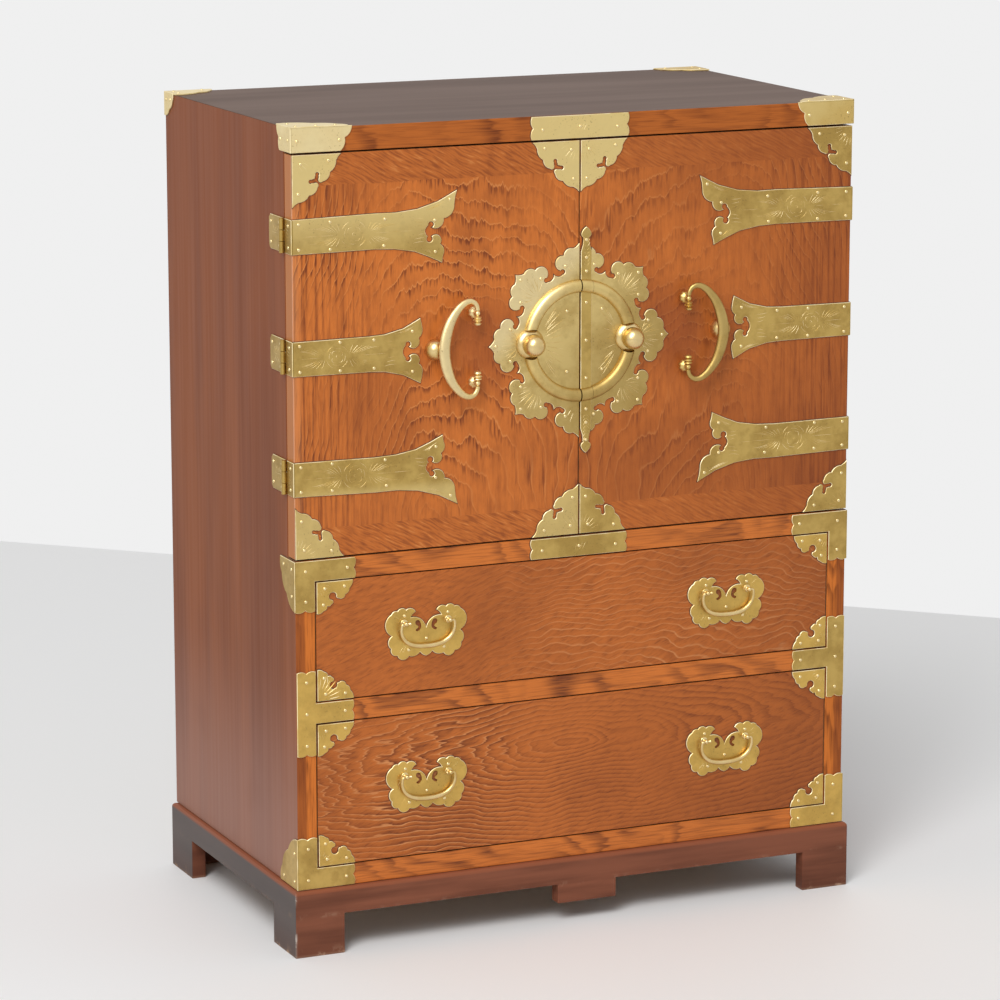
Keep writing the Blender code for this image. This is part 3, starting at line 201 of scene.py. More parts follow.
# Turned profiles and bails, as shares of a radius and a height
COLLAR_SHARES = ((1.0, 0.0), (1.02, 0.10), (1.0, 0.22), (0.96, 0.42), (0.905, 0.60),
                 (0.84, 0.78), (0.78, 0.91), (0.72, 1.0))
DOME_SHARES = ((1.0, 0.0), (1.0, 0.08), (0.985, 0.20), (0.95, 0.34), (0.88, 0.50),
               (0.76, 0.66), (0.62, 0.79), (0.46, 0.885), (0.28, 0.955), (0.12, 0.99), (0.0, 1.0))
FLUTED_SHARES = ((0.84, 0.0), (0.90, 0.06), (1.0, 0.18), (1.02, 0.32), (0.92, 0.46),
                 (0.70, 0.56), (0.52, 0.62), (0.44, 0.68))
POST_SHARES = ((1.0, 0.0), (1.0, 0.05), (0.94, 0.10), (0.80, 0.135), (0.60, 0.16),
               (0.48, 0.20), (0.42, 0.26))
HANDLE_BAIL_SHARES = (
    (0.000, 0.802, 0.40), (0.034, 0.902, 0.42), (0.136, 0.982, 0.45), (0.273, 1.000, 0.50),
    (0.455, 0.938, 0.60), (0.636, 0.804, 0.70), (0.795, 0.625, 0.82), (0.909, 0.411, 0.93),
    (0.977, 0.196, 0.98), (1.000, 0.000, 1.00),
)
HANDLE_FINIAL_SHARES = (
    (1.00, 0.6), (0.90, 2.5), (0.74, 3.1), (0.61, 1.6), (0.52, 2.9), (0.41, 3.7), (0.29, 2.2),
    (0.22, 3.0), (0.13, 3.4), (0.04, 1.8),
)
PULL_BAIL_SHARES = (
    (0.965, 0.020, 0.56), (1.000, 0.170, 0.60), (0.985, 0.400, 0.68), (0.890, 0.640, 0.80),
    (0.700, 0.840, 0.90), (0.400, 0.965, 0.98), (0.000, 1.000, 1.00),
)
PULL_FINIAL_SHARES = ((1.00, 0.6), (0.85, 1.6), (0.55, 1.9), (0.20, 1.3))

# Nails and where they sit on their plates
STRAP_NAILS = ((0.0085, 0.0145), (0.0085, -0.0145), (0.0470, 0.0155), (0.0470, -0.0160),
               (0.1145, 0.0150), (0.1130, -0.0155), (0.1765, 0.0105), (0.1955, 0.0335),
               (0.1770, -0.0260))
MIDDLE_STRAP_NAILS = ((0.0085, 0.0150), (0.0085, -0.0150), (0.0580, 0.0165), (0.0580, -0.0165),
                      (0.100, 0.0165), (0.100, -0.0165), (0.1480, 0.0235), (0.1480, -0.0235))
LEAF_NAILS = ((0.0615, 0.0120), (0.0615, -0.0120), (0.0350, 0.0135), (0.0350, -0.0135))
LOBE_NAILS = ((0.1075, 0.0), (0.0890, 0.0185), (0.0890, -0.0185))
LOCK_NAILS = ((-0.0165, 0.036), (-0.0165, -0.036), (0.0290, 0.036), (0.0290, -0.036))
STRIP_NAILS = (-0.119, -0.098, -0.082, -0.045, 0.0, 0.045, 0.082, 0.098, 0.119)
PULL_NAILS = ((-0.0275, 0.0210), (0.0275, 0.0210), (0, -0.0080), (-0.0225, -0.0200),
              (0.0225, -0.0200))
CAP_NAILS = {
    "face": ((0.0065, 0.0145), (0.0585, 0.0150)),
    "side": ((0.0080, 0.0140), (0.0300, 0.0140)),
    "lid": ((0.0080, 0.0075), (0.0330, 0.0080), (0.0560, 0.0060), (0.0080, 0.0330)),
    "back lid": ((0.0080, 0.0080), (0.0450, 0.0060), (0.0070, 0.0280)),
    "back side": ((0.0070, 0.0080), (0.0210, 0.0070)),
}
EDGE_PLATE_NAILS = ((-0.0480, -0.002), (0, 0), (0.0480, -0.002))
TEE_NAILS = ((0.0120, 0), (0.0600, 0), (0.0120, 0.0380), (0.0120, -0.0380))
DOOR_CORNER_NAILS = ((0.0105, 0.0105), (0.0445, 0.0075), (0.0075, 0.0445))
DRAWER_CORNER_NAILS = ((0.0100, 0.0080), (0.0345, 0.0070), (0.0080, 0.0270))

# Corner and edge mounts
CORNER_GAP = 0.0002
DOOR_FAN = 0.055
DRAWER_FAN = 0.042
DEEP_FAN = 0.062
CAP_LENGTH = 0.075
CAP_LOWER_SHARE = 0.81
CAP_SIDE_LENGTH = 0.043
CAP_TOP_LENGTH = 0.070
CAP_TOP_DEPTH = 0.046
BACK_CAP_LENGTH = 0.060
BACK_CAP_DEPTH = 0.040
BACK_CAP_SIDE = 0.031
EDGE_PLATE_HALF = 0.062
RAIL_ARM = 0.0736
RAIL_DROP = 0.0600
RAIL_SIDE = 0.044
TEE_HALF_HEIGHT = 0.0500
TEE_ARM = 0.0703
FOOT_ARM = 0.0700
FOOT_RISE = 0.0615
FOOT_SIDE = 0.053
TOP_THICKNESS = 0.028
RAIL_HEIGHT = 0.025
SIDE_THICKNESS = 0.024
CUPBOARD_HIGH = CASE_TOP - TOP_THICKNESS
UPPER_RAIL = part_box("cupboard_floor")[0].z
MIDDLE_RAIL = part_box("drawer_divider")[0].z

# Rounding of arcs and turned pieces
ARC_STEP = math.radians(14)
TINY_TURN = 0.05
TURNED_STEPS = 40
SMOOTH_ANGLE = math.radians(32)
BRIGHT_RIM = 0.0006
SUNK = 0.00012
NAIL_MODEL = "nail_model"


# What a user would change


class CabinetSizes(bpy.types.PropertyGroup):
    """Sizes of the finish that can be changed."""

    board_edge: FloatProperty(name="Board edge", description="Rounding of the boards' edges",
                              default=0.0008, min=0, max=0.003, unit="LENGTH")
    nail_radius: FloatProperty(name="Nail radius", description="Radius of the domed nails",
                               default=0.0021, min=0.0005, max=0.004, unit="LENGTH")
    nail_height: FloatProperty(name="Nail height", description="Height of the domed nails",
                               default=0.0011, min=0.0002, max=0.003, unit="LENGTH")
    stroke_radius: FloatProperty(name="Engraving width",
                                 description="Half width of an engraved stroke",
                                 default=0.00028, min=0.0001, max=0.001, unit="LENGTH")
    flutes: IntProperty(name="Flutes", description="Flutes round a handle post",
                        default=8, min=3, max=16)


def colour_property(label, hint, default):
    """Return a colour property with its default."""
    return FloatVectorProperty(name=label, description=hint, subtype="COLOR", size=3,
                               default=default, min=0, max=1)


class CabinetColours(bpy.types.PropertyGroup):
    """Colours of the finishes that can be changed."""

    door_light: colour_property("Door light", "Bright wood of the doors", (0.61, 0.172, 0.030))
    door_dark: colour_property("Door dark", "Dark figure of the doors", (0.190, 0.042, 0.010))
    door_stain: colour_property("Door stain", "Reddish wear round the handles",
                                (0.230, 0.048, 0.012))
    drawer_light: colour_property("Drawer light", "Light wood of the drawers",
                                  (0.50, 0.138, 0.026))
    drawer_dark: colour_property("Drawer dark", "Dark figure of the drawers",
                                 (0.170, 0.040, 0.010))
    case_light: colour_property("Rail light", "Light wood of the rails", (0.60, 0.170, 0.030))
    case_dark: colour_property("Rail dark", "Dark patches of the rails", (0.120, 0.028, 0.009))
    side_light: colour_property("Side light", "Light wood of the sides", (0.268, 0.077, 0.022))
    side_dark: colour_property("Side dark", "Dark wood of the sides", (0.158, 0.045, 0.018))
    side_warm: colour_property("Side warm", "Redder wood high on the sides",
                               (0.222, 0.056, 0.014))
    side_worn: colour_property("Side worn", "Paler wood low on the sides", (0.350, 0.195, 0.155))
    top_light: colour_property("Top light", "Light wood of the top", (0.140, 0.078, 0.052))
    top_dark: colour_property("Top dark", "Dark wood of the top", (0.078, 0.043, 0.030))
    plinth_light: colour_property("Plinth light", "Light wood of the plinth",
                                  (0.225, 0.079, 0.044))
    plinth_dark: colour_property("Plinth dark", "Dark wood of the plinth",
                                 (0.085, 0.030, 0.018))
    # Painted sheen: the plinth's sides get this greyer colour for the pale light they reflect.
    plinth_side_sheen: colour_property("Plinth side", "Greyer wood of the plinth's sides",
                                  (0.090, 0.082, 0.078))
    plinth_worn: colour_property("Plinth worn", "Rubbed edges of the plinth",
                                 (0.46, 0.30, 0.20))
    inner_light: colour_property("Inside light", "Plain wood inside", (0.44, 0.29, 0.16))
    inner_dark: colour_property("Inside dark", "Grain of the plain wood", (0.31, 0.185, 0.10))
    sheet_light: colour_property("Sheet brass", "Brass of the plates", (0.595, 0.408, 0.124))
    sheet_dark: colour_property("Aged brass", "Aged patches of the plates", (0.37, 0.235, 0.062))
    gold_light: colour_property("Drawer brass", "Light brass of the drawers' plates",
                                (0.69, 0.450, 0.118))
    cap_light: colour_property("Cap brass", "Brass of the corner caps", (0.84, 0.66, 0.29))
    cast_light: colour_property("Cast brass", "Polished brass of the handles",
                                (0.76, 0.585, 0.290))
    # Painted highlight: the engraved strokes, the plates' rims and the upper left of the lock
    # plate and caps are painted in this pale colour.
    stroke_highlight: colour_property("Engraving", "Bright bottom of the engraved strokes",
                                  (0.95, 0.81, 0.50))
    floor: colour_property("Floor", "Plain floor", (0.93, 0.93, 0.93))


def sizes():
    """Return the sizes that the user can change."""
    return bpy.context.scene.cabinet_sizes


def colours():
    """Return the colours that the user can change."""
    return bpy.context.scene.cabinet_colours


# Shader sums written as Python expressions


class Wire:
    """The output of a node, on which ordinary sums can be written."""

    def __init__(self, board, output):
        self.board = board
        self.output = output

    def __add__(self, other):
        return self.board.maths("ADD", self, other)

    def __sub__(self, other):
        return self.board.maths("SUBTRACT", self, other)

    def __mul__(self, other):
        return self.board.maths("MULTIPLY", self, other)

    def __truediv__(self, other):
        return self.board.maths("DIVIDE", self, other)

    def __pow__(self, other):
        return self.board.maths("POWER", self, other)

    def __rsub__(self, other):
        return self.board.maths("SUBTRACT", other, self)

    def __gt__(self, other):
        return self.board.maths("GREATER_THAN", self, other)

    def __lt__(self, other):
        return self.board.maths("LESS_THAN", self, other)

    def __abs__(self):
        return self.board.maths("ABSOLUTE", self)

    __radd__ = __add__
    __rmul__ = __mul__


class Nodes:
    """A node tree to which nodes are added."""

    def __init__(self, tree):
        self.tree = tree

    def node(self, kind, settings=None, inputs=None, output=0):
        """Add a node; its settings come first, then the values or wires of its sockets."""
        made = self.tree.nodes.new(kind)
        for name, value in (settings or {}).items():
            if name == "stops":
                self.set_stops(made.color_ramp, value)
            else:
                setattr(made, name, value)
        for name, value in (inputs or {}).items():
            self.feed(made.inputs[name], value)
        return made if output is None else Wire(self, made.outputs[output])

    def feed(self, socket, value):
        """Link a wire to a socket, or set the socket's value."""
        if isinstance(value, Wire):
            self.tree.links.new(value.output, socket)
        else:
            socket.default_value = value

    def set_stops(self, ramp, stops):
        """Set a ramp's stops from (place, grey) pairs."""
        while len(ramp.elements) > 1:
            ramp.elements.remove(ramp.elements[-1])
        for index, (place, tone) in enumerate(stops):
            stop = ramp.elements[0] if index == 0 else ramp.elements.new(place)
            stop.position = place
            stop.color = (tone, tone, tone, 1)

    def maths(self, operation, *values, clamp=False):
        """Return a Math node of the values."""
        return self.node("ShaderNodeMath", {"operation": operation, "use_clamp": clamp},
                         dict(enumerate(values)))


class Board(Nodes):
    """The node tree of one finish."""

    def __init__(self, name, metallic=0.0):
        self.material = bpy.data.materials.new(f"{name}_finish")
        self.material.use_nodes = True
        super().__init__(self.material.node_tree)
        self.shader = self.tree.nodes["Principled BSDF"]
        self.shader.inputs["Metallic"].default_value = metallic
        self.place = self.node("ShaderNodeTexCoord", output="Object")
        parts = self.node("ShaderNodeSeparateXYZ", inputs={0: self.place}, output=None)
        self.x, self.y, self.z = (Wire(self, parts.outputs[axis]) for axis in range(3))

    def clamp(self, value):
        """Return a value held between 0 and 1."""
        return self.maths("ADD", value, 0.0, clamp=True)

    def between(self, value, low, high):
        """Return 0 below low, 1 above high and a smooth step between them."""
        return self.node("ShaderNodeMapRange", {"interpolation_type": "SMOOTHSTEP"},
                         {"Value": value, "From Min": low, "From Max": high})

    def vector(self, x, y, z):
        """Return a vector of three values."""
        return self.node("ShaderNodeCombineXYZ", inputs={0: x, 1: y, 2: z})

    def noise(self, place, scale, detail=2.0, roughness=0.5, distortion=0.0):
        """Return a noise between 0 and 1 at a place."""
        return self.node("ShaderNodeTexNoise", inputs={
            "Vector": place, "Scale": scale, "Detail": detail, "Roughness": roughness,
            "Distortion": distortion})

    def drift(self, scale, detail=2.0):
        """Return a noise that wanders about zero."""
        return self.noise(self.place, scale, detail) - 0.5

    def clouds(self, scale, low, high, **settings):
        """Return the bright parts of a noise, 0 below low and 1 above high."""
        return self.between(self.noise(self.place, scale, **settings), low, high)

    def stretched(self, x, y, z, **settings):
        """Return a noise whose grain has the given scales along the axes."""
        return self.noise(self.vector(self.x * x, self.y * y, self.z * z), 1.0, **settings)

    def streaks(self, x, y, z, low, high, **settings):
        """Return the bright parts of a stretched noise, 0 below low and 1 above high."""
        return self.between(self.stretched(x, y, z, **settings), low, high)

    def ramp(self, value, stops):
        """Return a value picked from stops."""
        return self.node("ShaderNodeValToRGB", {"stops": stops}, {0: value})

    def mix(self, share, first, second):
        """Mix two colours."""
        return self.node("ShaderNodeMix", {"data_type": "RGBA"},
                         {0: share, 6: full(first), 7: full(second)}, output=2)

    def finish(self, colour, roughness, height=None, strength=0.3, distance=0.001, **constants):
        """Connect what varies to the shader and set its constants."""
        self.feed(self.shader.inputs["Base Color"], full(colour))
        self.feed(self.shader.inputs["Roughness"], roughness)
        if height is not None:
            bump = self.node("ShaderNodeBump", inputs={
                "Height": height, "Strength": strength, "Distance": distance})
            self.feed(self.shader.inputs["Normal"], bump)
        for name, value in constants.items():
            label = name.replace("_", " ").title().replace("Ior", "IOR")
            self.shader.inputs[label].default_value = value
        return self.material


def length_of(across, up):
    """Return how far a place, given as two wires, is from where both are zero."""
    return (across * across + up * up) ** 0.5


def full(colour):
    """Return a colour with its alpha, or a wire as it is."""
    return colour if isinstance(colour, Wire) else (*colour, 1) if len(colour) == 3 else colour


# Frames whose local XY plane is the front, a side or the top, with z coming out


def front_frame(depth=0.0):
    """Local x is across, y is up and z comes out of the front."""
    return Matrix(((1, 0, 0, 0), (0, 0, -1, FRONT + depth), (0, 1, 0, 0), (0, 0, 0, 1)))


def side_frame(sign):
    """Local x is the depth from the front, y is up and z comes out of the side."""
    return Matrix(((0, 0, sign, sign * CASE_HALF), (1, 0, 0, FRONT), (0, 1, 0, 0), (0, 0, 0, 1)))


def top_frame():
    """Local x is across, y is the depth from the front and z comes out of the top."""
    return Matrix(((1, 0, 0, 0), (0, 1, 0, FRONT), (0, 0, 1, CASE_TOP), (0, 0, 0, 1)))


def moved(frame_matrix, x, y, sign_x=1, sign_y=1):
    """Return a frame moved to a place on its plane, mirrored where a sign is negative."""
    return frame_matrix @ Matrix.Translation((x, y, 0)) @ Matrix.Diagonal((sign_x, sign_y, 1, 1))


# Outlines


def arc(start, end, bulge):
    """Return the places along an arc, from its start up to but not its end."""
    chord = end - start
    if bulge == 0 or chord.length == 0:
        return [start]
    angle = 4 * math.atan(abs(bulge))
    radius = chord.length / 2 / math.sin(angle / 2)
    away = Vector((chord.y, -chord.x)).normalized() * math.copysign(1, bulge)
    centre = (start + end) / 2 - away * radius * math.cos(angle / 2)
    steps = max(2, math.ceil(angle / ARC_STEP))
    arm = start - centre
    turn = math.copysign(angle, bulge) / steps
    return [centre + Matrix.Rotation(turn * step, 2) @ arm for step in range(steps)]


def outline(points):
    """Return the closed outline through (x, y, bulge) points."""
    loop = []
    for here, after in zip(points, (*points[1:], points[0])):
        loop.extend(arc(Vector(here[:2]), Vector(after[:2]), here[2]))
    return loop


def bumps(start, end):
    """Return the points of two bumps with a sunk cusp between them, up to but not the end."""
    first = Vector(start)
    way = (Vector(end) - first) / 2
    cusp = first + way + Vector((-way.y, way.x)) * CUSP_SHARE
    return [(*first, BUMP), (*cusp, BUMP)]


def scaled(shares, width, height):
    """Return a table of shares as points."""
    return [(across * width, up * height, bulge) for across, up, bulge in shares]


def reflected(run, sign_x, sign_y):
    """Return the mirror image of a run of points, from its last point down to its second."""
    return [(sign_x * here[0], sign_y * here[1], before[2])
            for here, before in zip(run[:0:-1], run[-2::-1])]


def mirrored(half):
    """Return a half outline that starts and ends on the y axis with its mirror image."""
    return [*half[:-1], *reflected(half, -1, 1)]


def heightened(lower):
    """Return a right-hand half outline from its lower part, mirrored above the x axis."""
    return [*lower, *reflected(lower, 1, -1), (lower[0][0], -lower[0][1], 0)]


def flipped(half):
    """Return an upper half outline with its mirror image below the x axis before it."""
    return [*reflected(half, 1, -1), *half]


def diagonal(half):
    """Return a corner outline from its half, mirrored about the diagonal."""
    other = [(up, across, bulge) for across, up, bulge in reflected(half, 1, 1)]
    return [(0, 0, 0), *half[:-1], *other, (half[0][1], half[0][0], 0)]


def placed(loop, centre_x, centre_y, sign_x=1, sign_y=1):
    """Move a loop to its centre, mirrored where a sign is negative."""
    return [Vector((centre_x + sign_x * place.x, centre_y + sign_y * place.y)) for place in loop]


def quarter(reach_x, reach_y):
    """Return a corner piece whose long edge is a row of bumps between two arms."""
    bends = [(share_x * reach_x, share_y * reach_y, BUMP) for share_x, share_y in QUARTER_SHARES]
    return outline([(0, 0, 0), (reach_x, 0, BUMP), *bends, (0, reach_y, 0)])


def anticlockwise(loop):
    """Return the loop so that it runs anticlockwise."""
    area = sum(here.x * after.y - here.y * after.x
               for here, after in zip(loop, (*loop[1:], loop[0])))
    return loop if area > 0 else loop[::-1]


def grown(loop, distance):
    """Return the loop with each corner moved out by a distance, bounded at sharp tips."""
    corners = []
    for index, here in enumerate(loop):
        first = (here - loop[index - 1]).normalized()
        second = (loop[(index + 1) % len(loop)] - here).normalized()
        edge_normal = Vector((first.y, -first.x))
        normal = edge_normal + Vector((second.y, -second.x))
        if normal.length < TINY_TURN:
            normal = first - second
        normal.normalize()
        share = max(normal.dot(edge_normal), MITRE_FLOOR)
        corners.append(here + normal * distance / share)
    return corners


def held_in(loop, limits):
    """Return the loop held inside a rectangle."""
    low_x, low_y, high_x, high_y = limits
    return [Vector((min(max(place.x, low_x), high_x), min(max(place.y, low_y), high_y)))
            for place in loop]


# Modelling by operators


def deselect():
    """Leave edit mode and deselect everything."""
    if bpy.context.mode != "OBJECT":
        bpy.ops.object.mode_set(mode="OBJECT")
    bpy.ops.object.select_all(action="DESELECT")


def active(item):
    """Make an object the only selected and the active one."""
    deselect()
    item.select_set(True)
    bpy.context.view_layer.objects.active = item
    return item


def edit(item):
    """Open an object in edit mode with everything selected."""
    active(item)
    bpy.ops.object.mode_set(mode="EDIT")
    bpy.ops.mesh.select_all(action="SELECT")


def outward(item):
    """Turn a closed mesh's faces outward."""
    edit(item)
    bpy.ops.mesh.normals_make_consistent(inside=False)
    bpy.ops.object.mode_set(mode="OBJECT")
    return item


def near(place):
    """Return a place's x and y as whole micrometres, to find it again by."""
    return round(place.x / WELD), round(place.y / WELD)


def paint(item, *names):
    """Give a piece its finishes."""
    item.data.materials.clear()
    for name in names:
        item.data.materials.append(bpy.data.materials[f"{name}_finish"])
    return item


def extruded(rise):
    """Extrude what is selected along z."""
    bpy.ops.mesh.extrude_region_move(TRANSFORM_OT_translate={"value": (0, 0, rise)})


def plate(loop, pose, thickness=PLATE, wax_shadow_area=None, base=SEAT, metal="sheet_brass"):
    """Return a plate with a bright chamfered rim: a disc put on the outline and extruded.

    A rectangle may be given in which the dark line round the plate is held, old wax and a painted
    shadow along its edge in one.
    """
    loop = anticlockwise(loop)
    top = base + thickness
    levels = [(loop, base), (loop, top - BRIGHT_RIM), (grown(loop, -BRIGHT_RIM), top)]
    if wax_shadow_area:
        spread = held_in(grown(loop, WAX_SHADOW_REACH), wax_shadow_area)
        levels = [(spread, 0), (spread, WAX_SHADOW_HEIGHT), (loop, base), *levels[1:]]
    deselect()
    bpy.ops.mesh.primitive_circle_add(vertices=len(loop), radius=1, fill_type="NGON")
    item = bpy.context.object
    heights = [height for _, height in levels]
    for corner, place in zip(item.data.vertices, loop):
        corner.co = (*place, heights[0])
    order = {near(corner.co): index for index, corner in enumerate(item.data.vertices)}
    edit(item)
    for before, after in zip(heights, heights[1:]):
        extruded(after - before)
    bpy.ops.object.mode_set(mode="OBJECT")
    for corner in item.data.vertices:
        level = min(range(len(heights)), key=lambda index: abs(heights[index] - corner.co.z))
        corner.co.xy = levels[level][0][order[near(corner.co)]]
    paint(item, metal, "wax_and_shadow_line", "polished_rim_and_highlight")
    for face in item.data.polygons:
        rises = [item.data.vertices[index].co.z for index in face.vertices]
        if max(rises) < base + WELD:
            face.material_index = 1
        elif max(rises) - min(rises) > WELD and min(rises) > base + WELD:
            face.material_index = 2
    item.data.transform(pose)
    return outward(item)


def turned(profile, pose, steps=TURNED_STEPS):
    """Return a profile of (radius, height) turned about z, built up ring by ring."""
    deselect()
    radius, height = profile[0]
    bpy.ops.mesh.primitive_circle_add(vertices=steps, radius=radius, fill_type="NGON")
    item = bpy.context.object
    item.data.transform(Matrix.Translation((0, 0, height)))
    edit(item)
    for next_radius, next_height in profile[1:]:
        extruded(next_height - height)
        height = next_height
        if next_radius == 0:
            bpy.ops.mesh.merge(type="CENTER")
            break
        ratio = next_radius / radius
        bpy.ops.transform.resize(value=(ratio, ratio, 1))
        radius = next_radius
    bpy.ops.object.mode_set(mode="OBJECT")
    item.data.transform(pose)
    return outward(item)


def with_settings(item, **settings):
    """Set an item's named settings in their order, and return it."""
    for name, value in settings.items():
        setattr(item, name, value)
    return item


def new_curve(thickness, resolution):
    """Add a round curve with closed ends, and return its data."""
    deselect()
    bpy.ops.curve.primitive_bezier_curve_add()
    return with_settings(bpy.context.object.data, dimensions="3D", bevel_depth=thickness,
                         bevel_resolution=resolution, use_fill_caps=True)


def tube(places, radii, pose):
    """Return a round tube whose radius changes from place to place."""
    thickest = max(radii)
    curve = new_curve(thickest, 6)
    curve.resolution_u = 5
    spline = curve.splines[0]
    spline.bezier_points.add(len(places) - 2)
    for point, place, radius in zip(spline.bezier_points, places, radii):
        with_settings(point, co=place, handle_left_type="AUTO", handle_right_type="AUTO",
                      radius=radius / thickest)
    bpy.ops.object.convert(target="MESH")
    item = bpy.context.object
    item.data.transform(pose)
    return outward(item)


def rod(start, end, radius, steps=24):
    """Return a round rod between two places."""
    along = end - start
    pose = Matrix.Translation(start) @ along.to_track_quat("Z", "Y").to_matrix().to_4x4()
    chamfer = radius * 0.12
    profile = [(radius - chamfer, 0), (radius, chamfer), (radius, along.length - chamfer),
               (radius - chamfer, along.length)]
    return turned(profile, pose, steps)


def joined(name, items):
    """Join pieces into one object."""
    active(items[0])
    for item in items:
        item.select_set(True)
    if len(items) > 1:
        bpy.ops.object.join()
    whole = bpy.context.object
    whole.name = name
    whole.data.name = name
    return whole


def cut(item, *tools):
    """Cut the tools out of a piece, and remove them."""
    for tool in tools:
        active(item)
        step = with_settings(item.modifiers.new("Cut", "BOOLEAN"), operation="DIFFERENCE",
                             solver="EXACT", object=tool)
        bpy.ops.object.modifier_apply(modifier=step.name)
        bpy.data.objects.remove(tool, do_unlink=True)
    return item


def sliced(item, place, normal):
    """Cut away what lies beyond a plane, and close the cut."""
    edit(item)
    bpy.ops.mesh.bisect(plane_co=place, plane_no=normal, clear_outer=True, use_fill=True)
    bpy.ops.object.mode_set(mode="OBJECT")
    return item


def keep(name, items, body, slot, *replaced):
    """Join a piece's parts under its name, smooth it, hide the parts it replaces and hang it on
    the body it rides on.
    """
    item = joined(name, items)
    bpy.ops.object.shade_smooth_by_angle(angle=SMOOTH_ANGLE)
    if replaced:
        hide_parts(*replaced)
    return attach(item, body)


def nail_mesh():
    """Return the mesh of one domed nail, half a ball cut from a sphere, made on first use."""
    if NAIL_MODEL not in bpy.data.meshes:
        deselect()
        bpy.ops.mesh.primitive_uv_sphere_add(segments=12, ring_count=8, radius=1)
        item = sliced(bpy.context.object, (0, 0, 0), (0, 0, -1))
        item.data.name = NAIL_MODEL
        width, height = sizes().nail_radius, sizes().nail_height
        item.data.transform(Matrix.Diagonal((width, width, height, 1)))
        paint(outward(item), "nail_brass")
        bpy.data.objects.remove(item, do_unlink=True)
    return bpy.data.meshes[NAIL_MODEL]


def nails(places, pose, height=PLATE_OUT):
    """Return domed nails at places on a plate."""
    made = []
    for x, y in places:
        item = bpy.data.objects.new("nail", nail_mesh().copy())
        bpy.context.scene.collection.objects.link(item)
        item.data.transform(pose @ Matrix.Translation((x, y, height)))
        if pose.determinant() < 0:
            item.data.flip_normals()
        made.append(item)
    return joined("nails", made)


def strokes(lines, pose, height=PLATE_OUT - SUNK, share=1.0):
    """Return engraved strokes, thin lines that swell in the middle, along places on a plate."""
    curve = new_curve(sizes().stroke_radius * share, 0)
    curve.splines.clear()
    for line in lines:
        spline = curve.splines.new("POLY")
        spline.points.add(len(line) - 1)
        for index, (point, place) in enumerate(zip(spline.points, line)):
            point.co = (*place, height, 1)
            point.radius = max(math.sin(math.pi * index / (len(line) - 1)), 0.12)
    bpy.ops.object.convert(target="MESH")
    item = paint(bpy.context.object, "engraved_line")
    item.data.transform(pose)
    return outward(item)


def curl(x, y, radius, start, end, steps=10):
    """Return the places along an arc round a place, from one angle in degrees to another."""
    angles = (math.radians(start + (end - start) * step / steps) for step in range(steps + 1))
    return [Vector((x + radius * math.cos(angle), y + radius * math.sin(angle)))
            for angle in angles]


def swept(start, end, bulge, steps=7):
    """Return the places along one curved stroke."""
    start, end = Vector(start), Vector(end)
    middle = (start + end) / 2 + Vector((end.y - start.y, start.x - end.x)) * bulge / 2
    shares = (step / steps for step in range(steps + 1))
    return [(1 - share) ** 2 * start + 2 * share * (1 - share) * middle + share ** 2 * end
            for share in shares]


# Finishes


# Fixed colours of the finishes
PALE_FLAME = (0.78, 0.34, 0.110)
PALE_HATCH = (0.74, 0.30, 0.085)
DOOR_EDGE = (0.445, 0.148, 0.030)
RUBBED_ARRIS = (0.62, 0.34, 0.23)
RUBBED_VENEER = (0.75, 0.36, 0.16)
PALE_LOOP = (0.72, 0.33, 0.130)
HOOK_SHADE = (0.110, 0.042, 0.018)
STILE_RIM = (0.190, 0.048, 0.016)
TOP_EDGE = (0.200, 0.050, 0.016)
PLINTH_TOP_HIGHLIGHT = (0.290, 0.090, 0.042)
BARE_WOOD = (0.72, 0.66, 0.58)
BRASS_SPOT = (0.20, 0.13, 0.05)
NAIL_LIGHT = (0.86, 0.69, 0.36)
NAIL_DARK = (0.62, 0.46, 0.20)
WAX_AND_SHADOW_DARK = (0.050, 0.020, 0.010)
WAX_AND_SHADOW_BROWN = (0.150, 0.055, 0.022)
FLOOR_CLOUD = (0.7, 0.7, 0.7)

# Places of the figure
FLAME_CENTRE = 0.195
FLAME_LOW = 0.50
FLAME_HEIGHT = 0.34
HANDLE_WEAR = (0.115, 0.715)
BAND_HEIGHT = 0.0355
HOOK_OFFSET = 0.0099
VENEER_EDGE = (0.0015, 0.0022)
BOARD_EDGE = (0.0010, 0.0020)
FOOT_ARCH_TOP = 0.0485

# Gloss of the woods
WAXED = {"coat_weight": 0.03, "coat_roughness": 0.25, "specular_ior_level": 0.22}
DULL = {"coat_weight": 0.0, "specular_ior_level": 0.10}


def wood_tone(board, figure, light, dark, patch_scale=5.0, patch_share=0.35):
    """Return a wood colour: light to dark by the figure, with broad deeper patches."""
    patches = board.clouds(patch_scale, 0.42, 0.68, detail=3.0)
    deep = board.mix(patches * patch_share, light, dark)
    return board.mix(figure, deep, dark)


def ring_tone(board, phase):
    """Return how dark a growth ring is: sharp on one side and fading on the other."""
    ring = board.maths("FRACT", phase)
    return board.ramp(ring, ((0.0, 0.12), (0.28, 0.0), (0.55, 0.28), (0.80, 0.66), (0.93, 0.90),
                             (0.97, 0.62), (1.0, 0.12)))


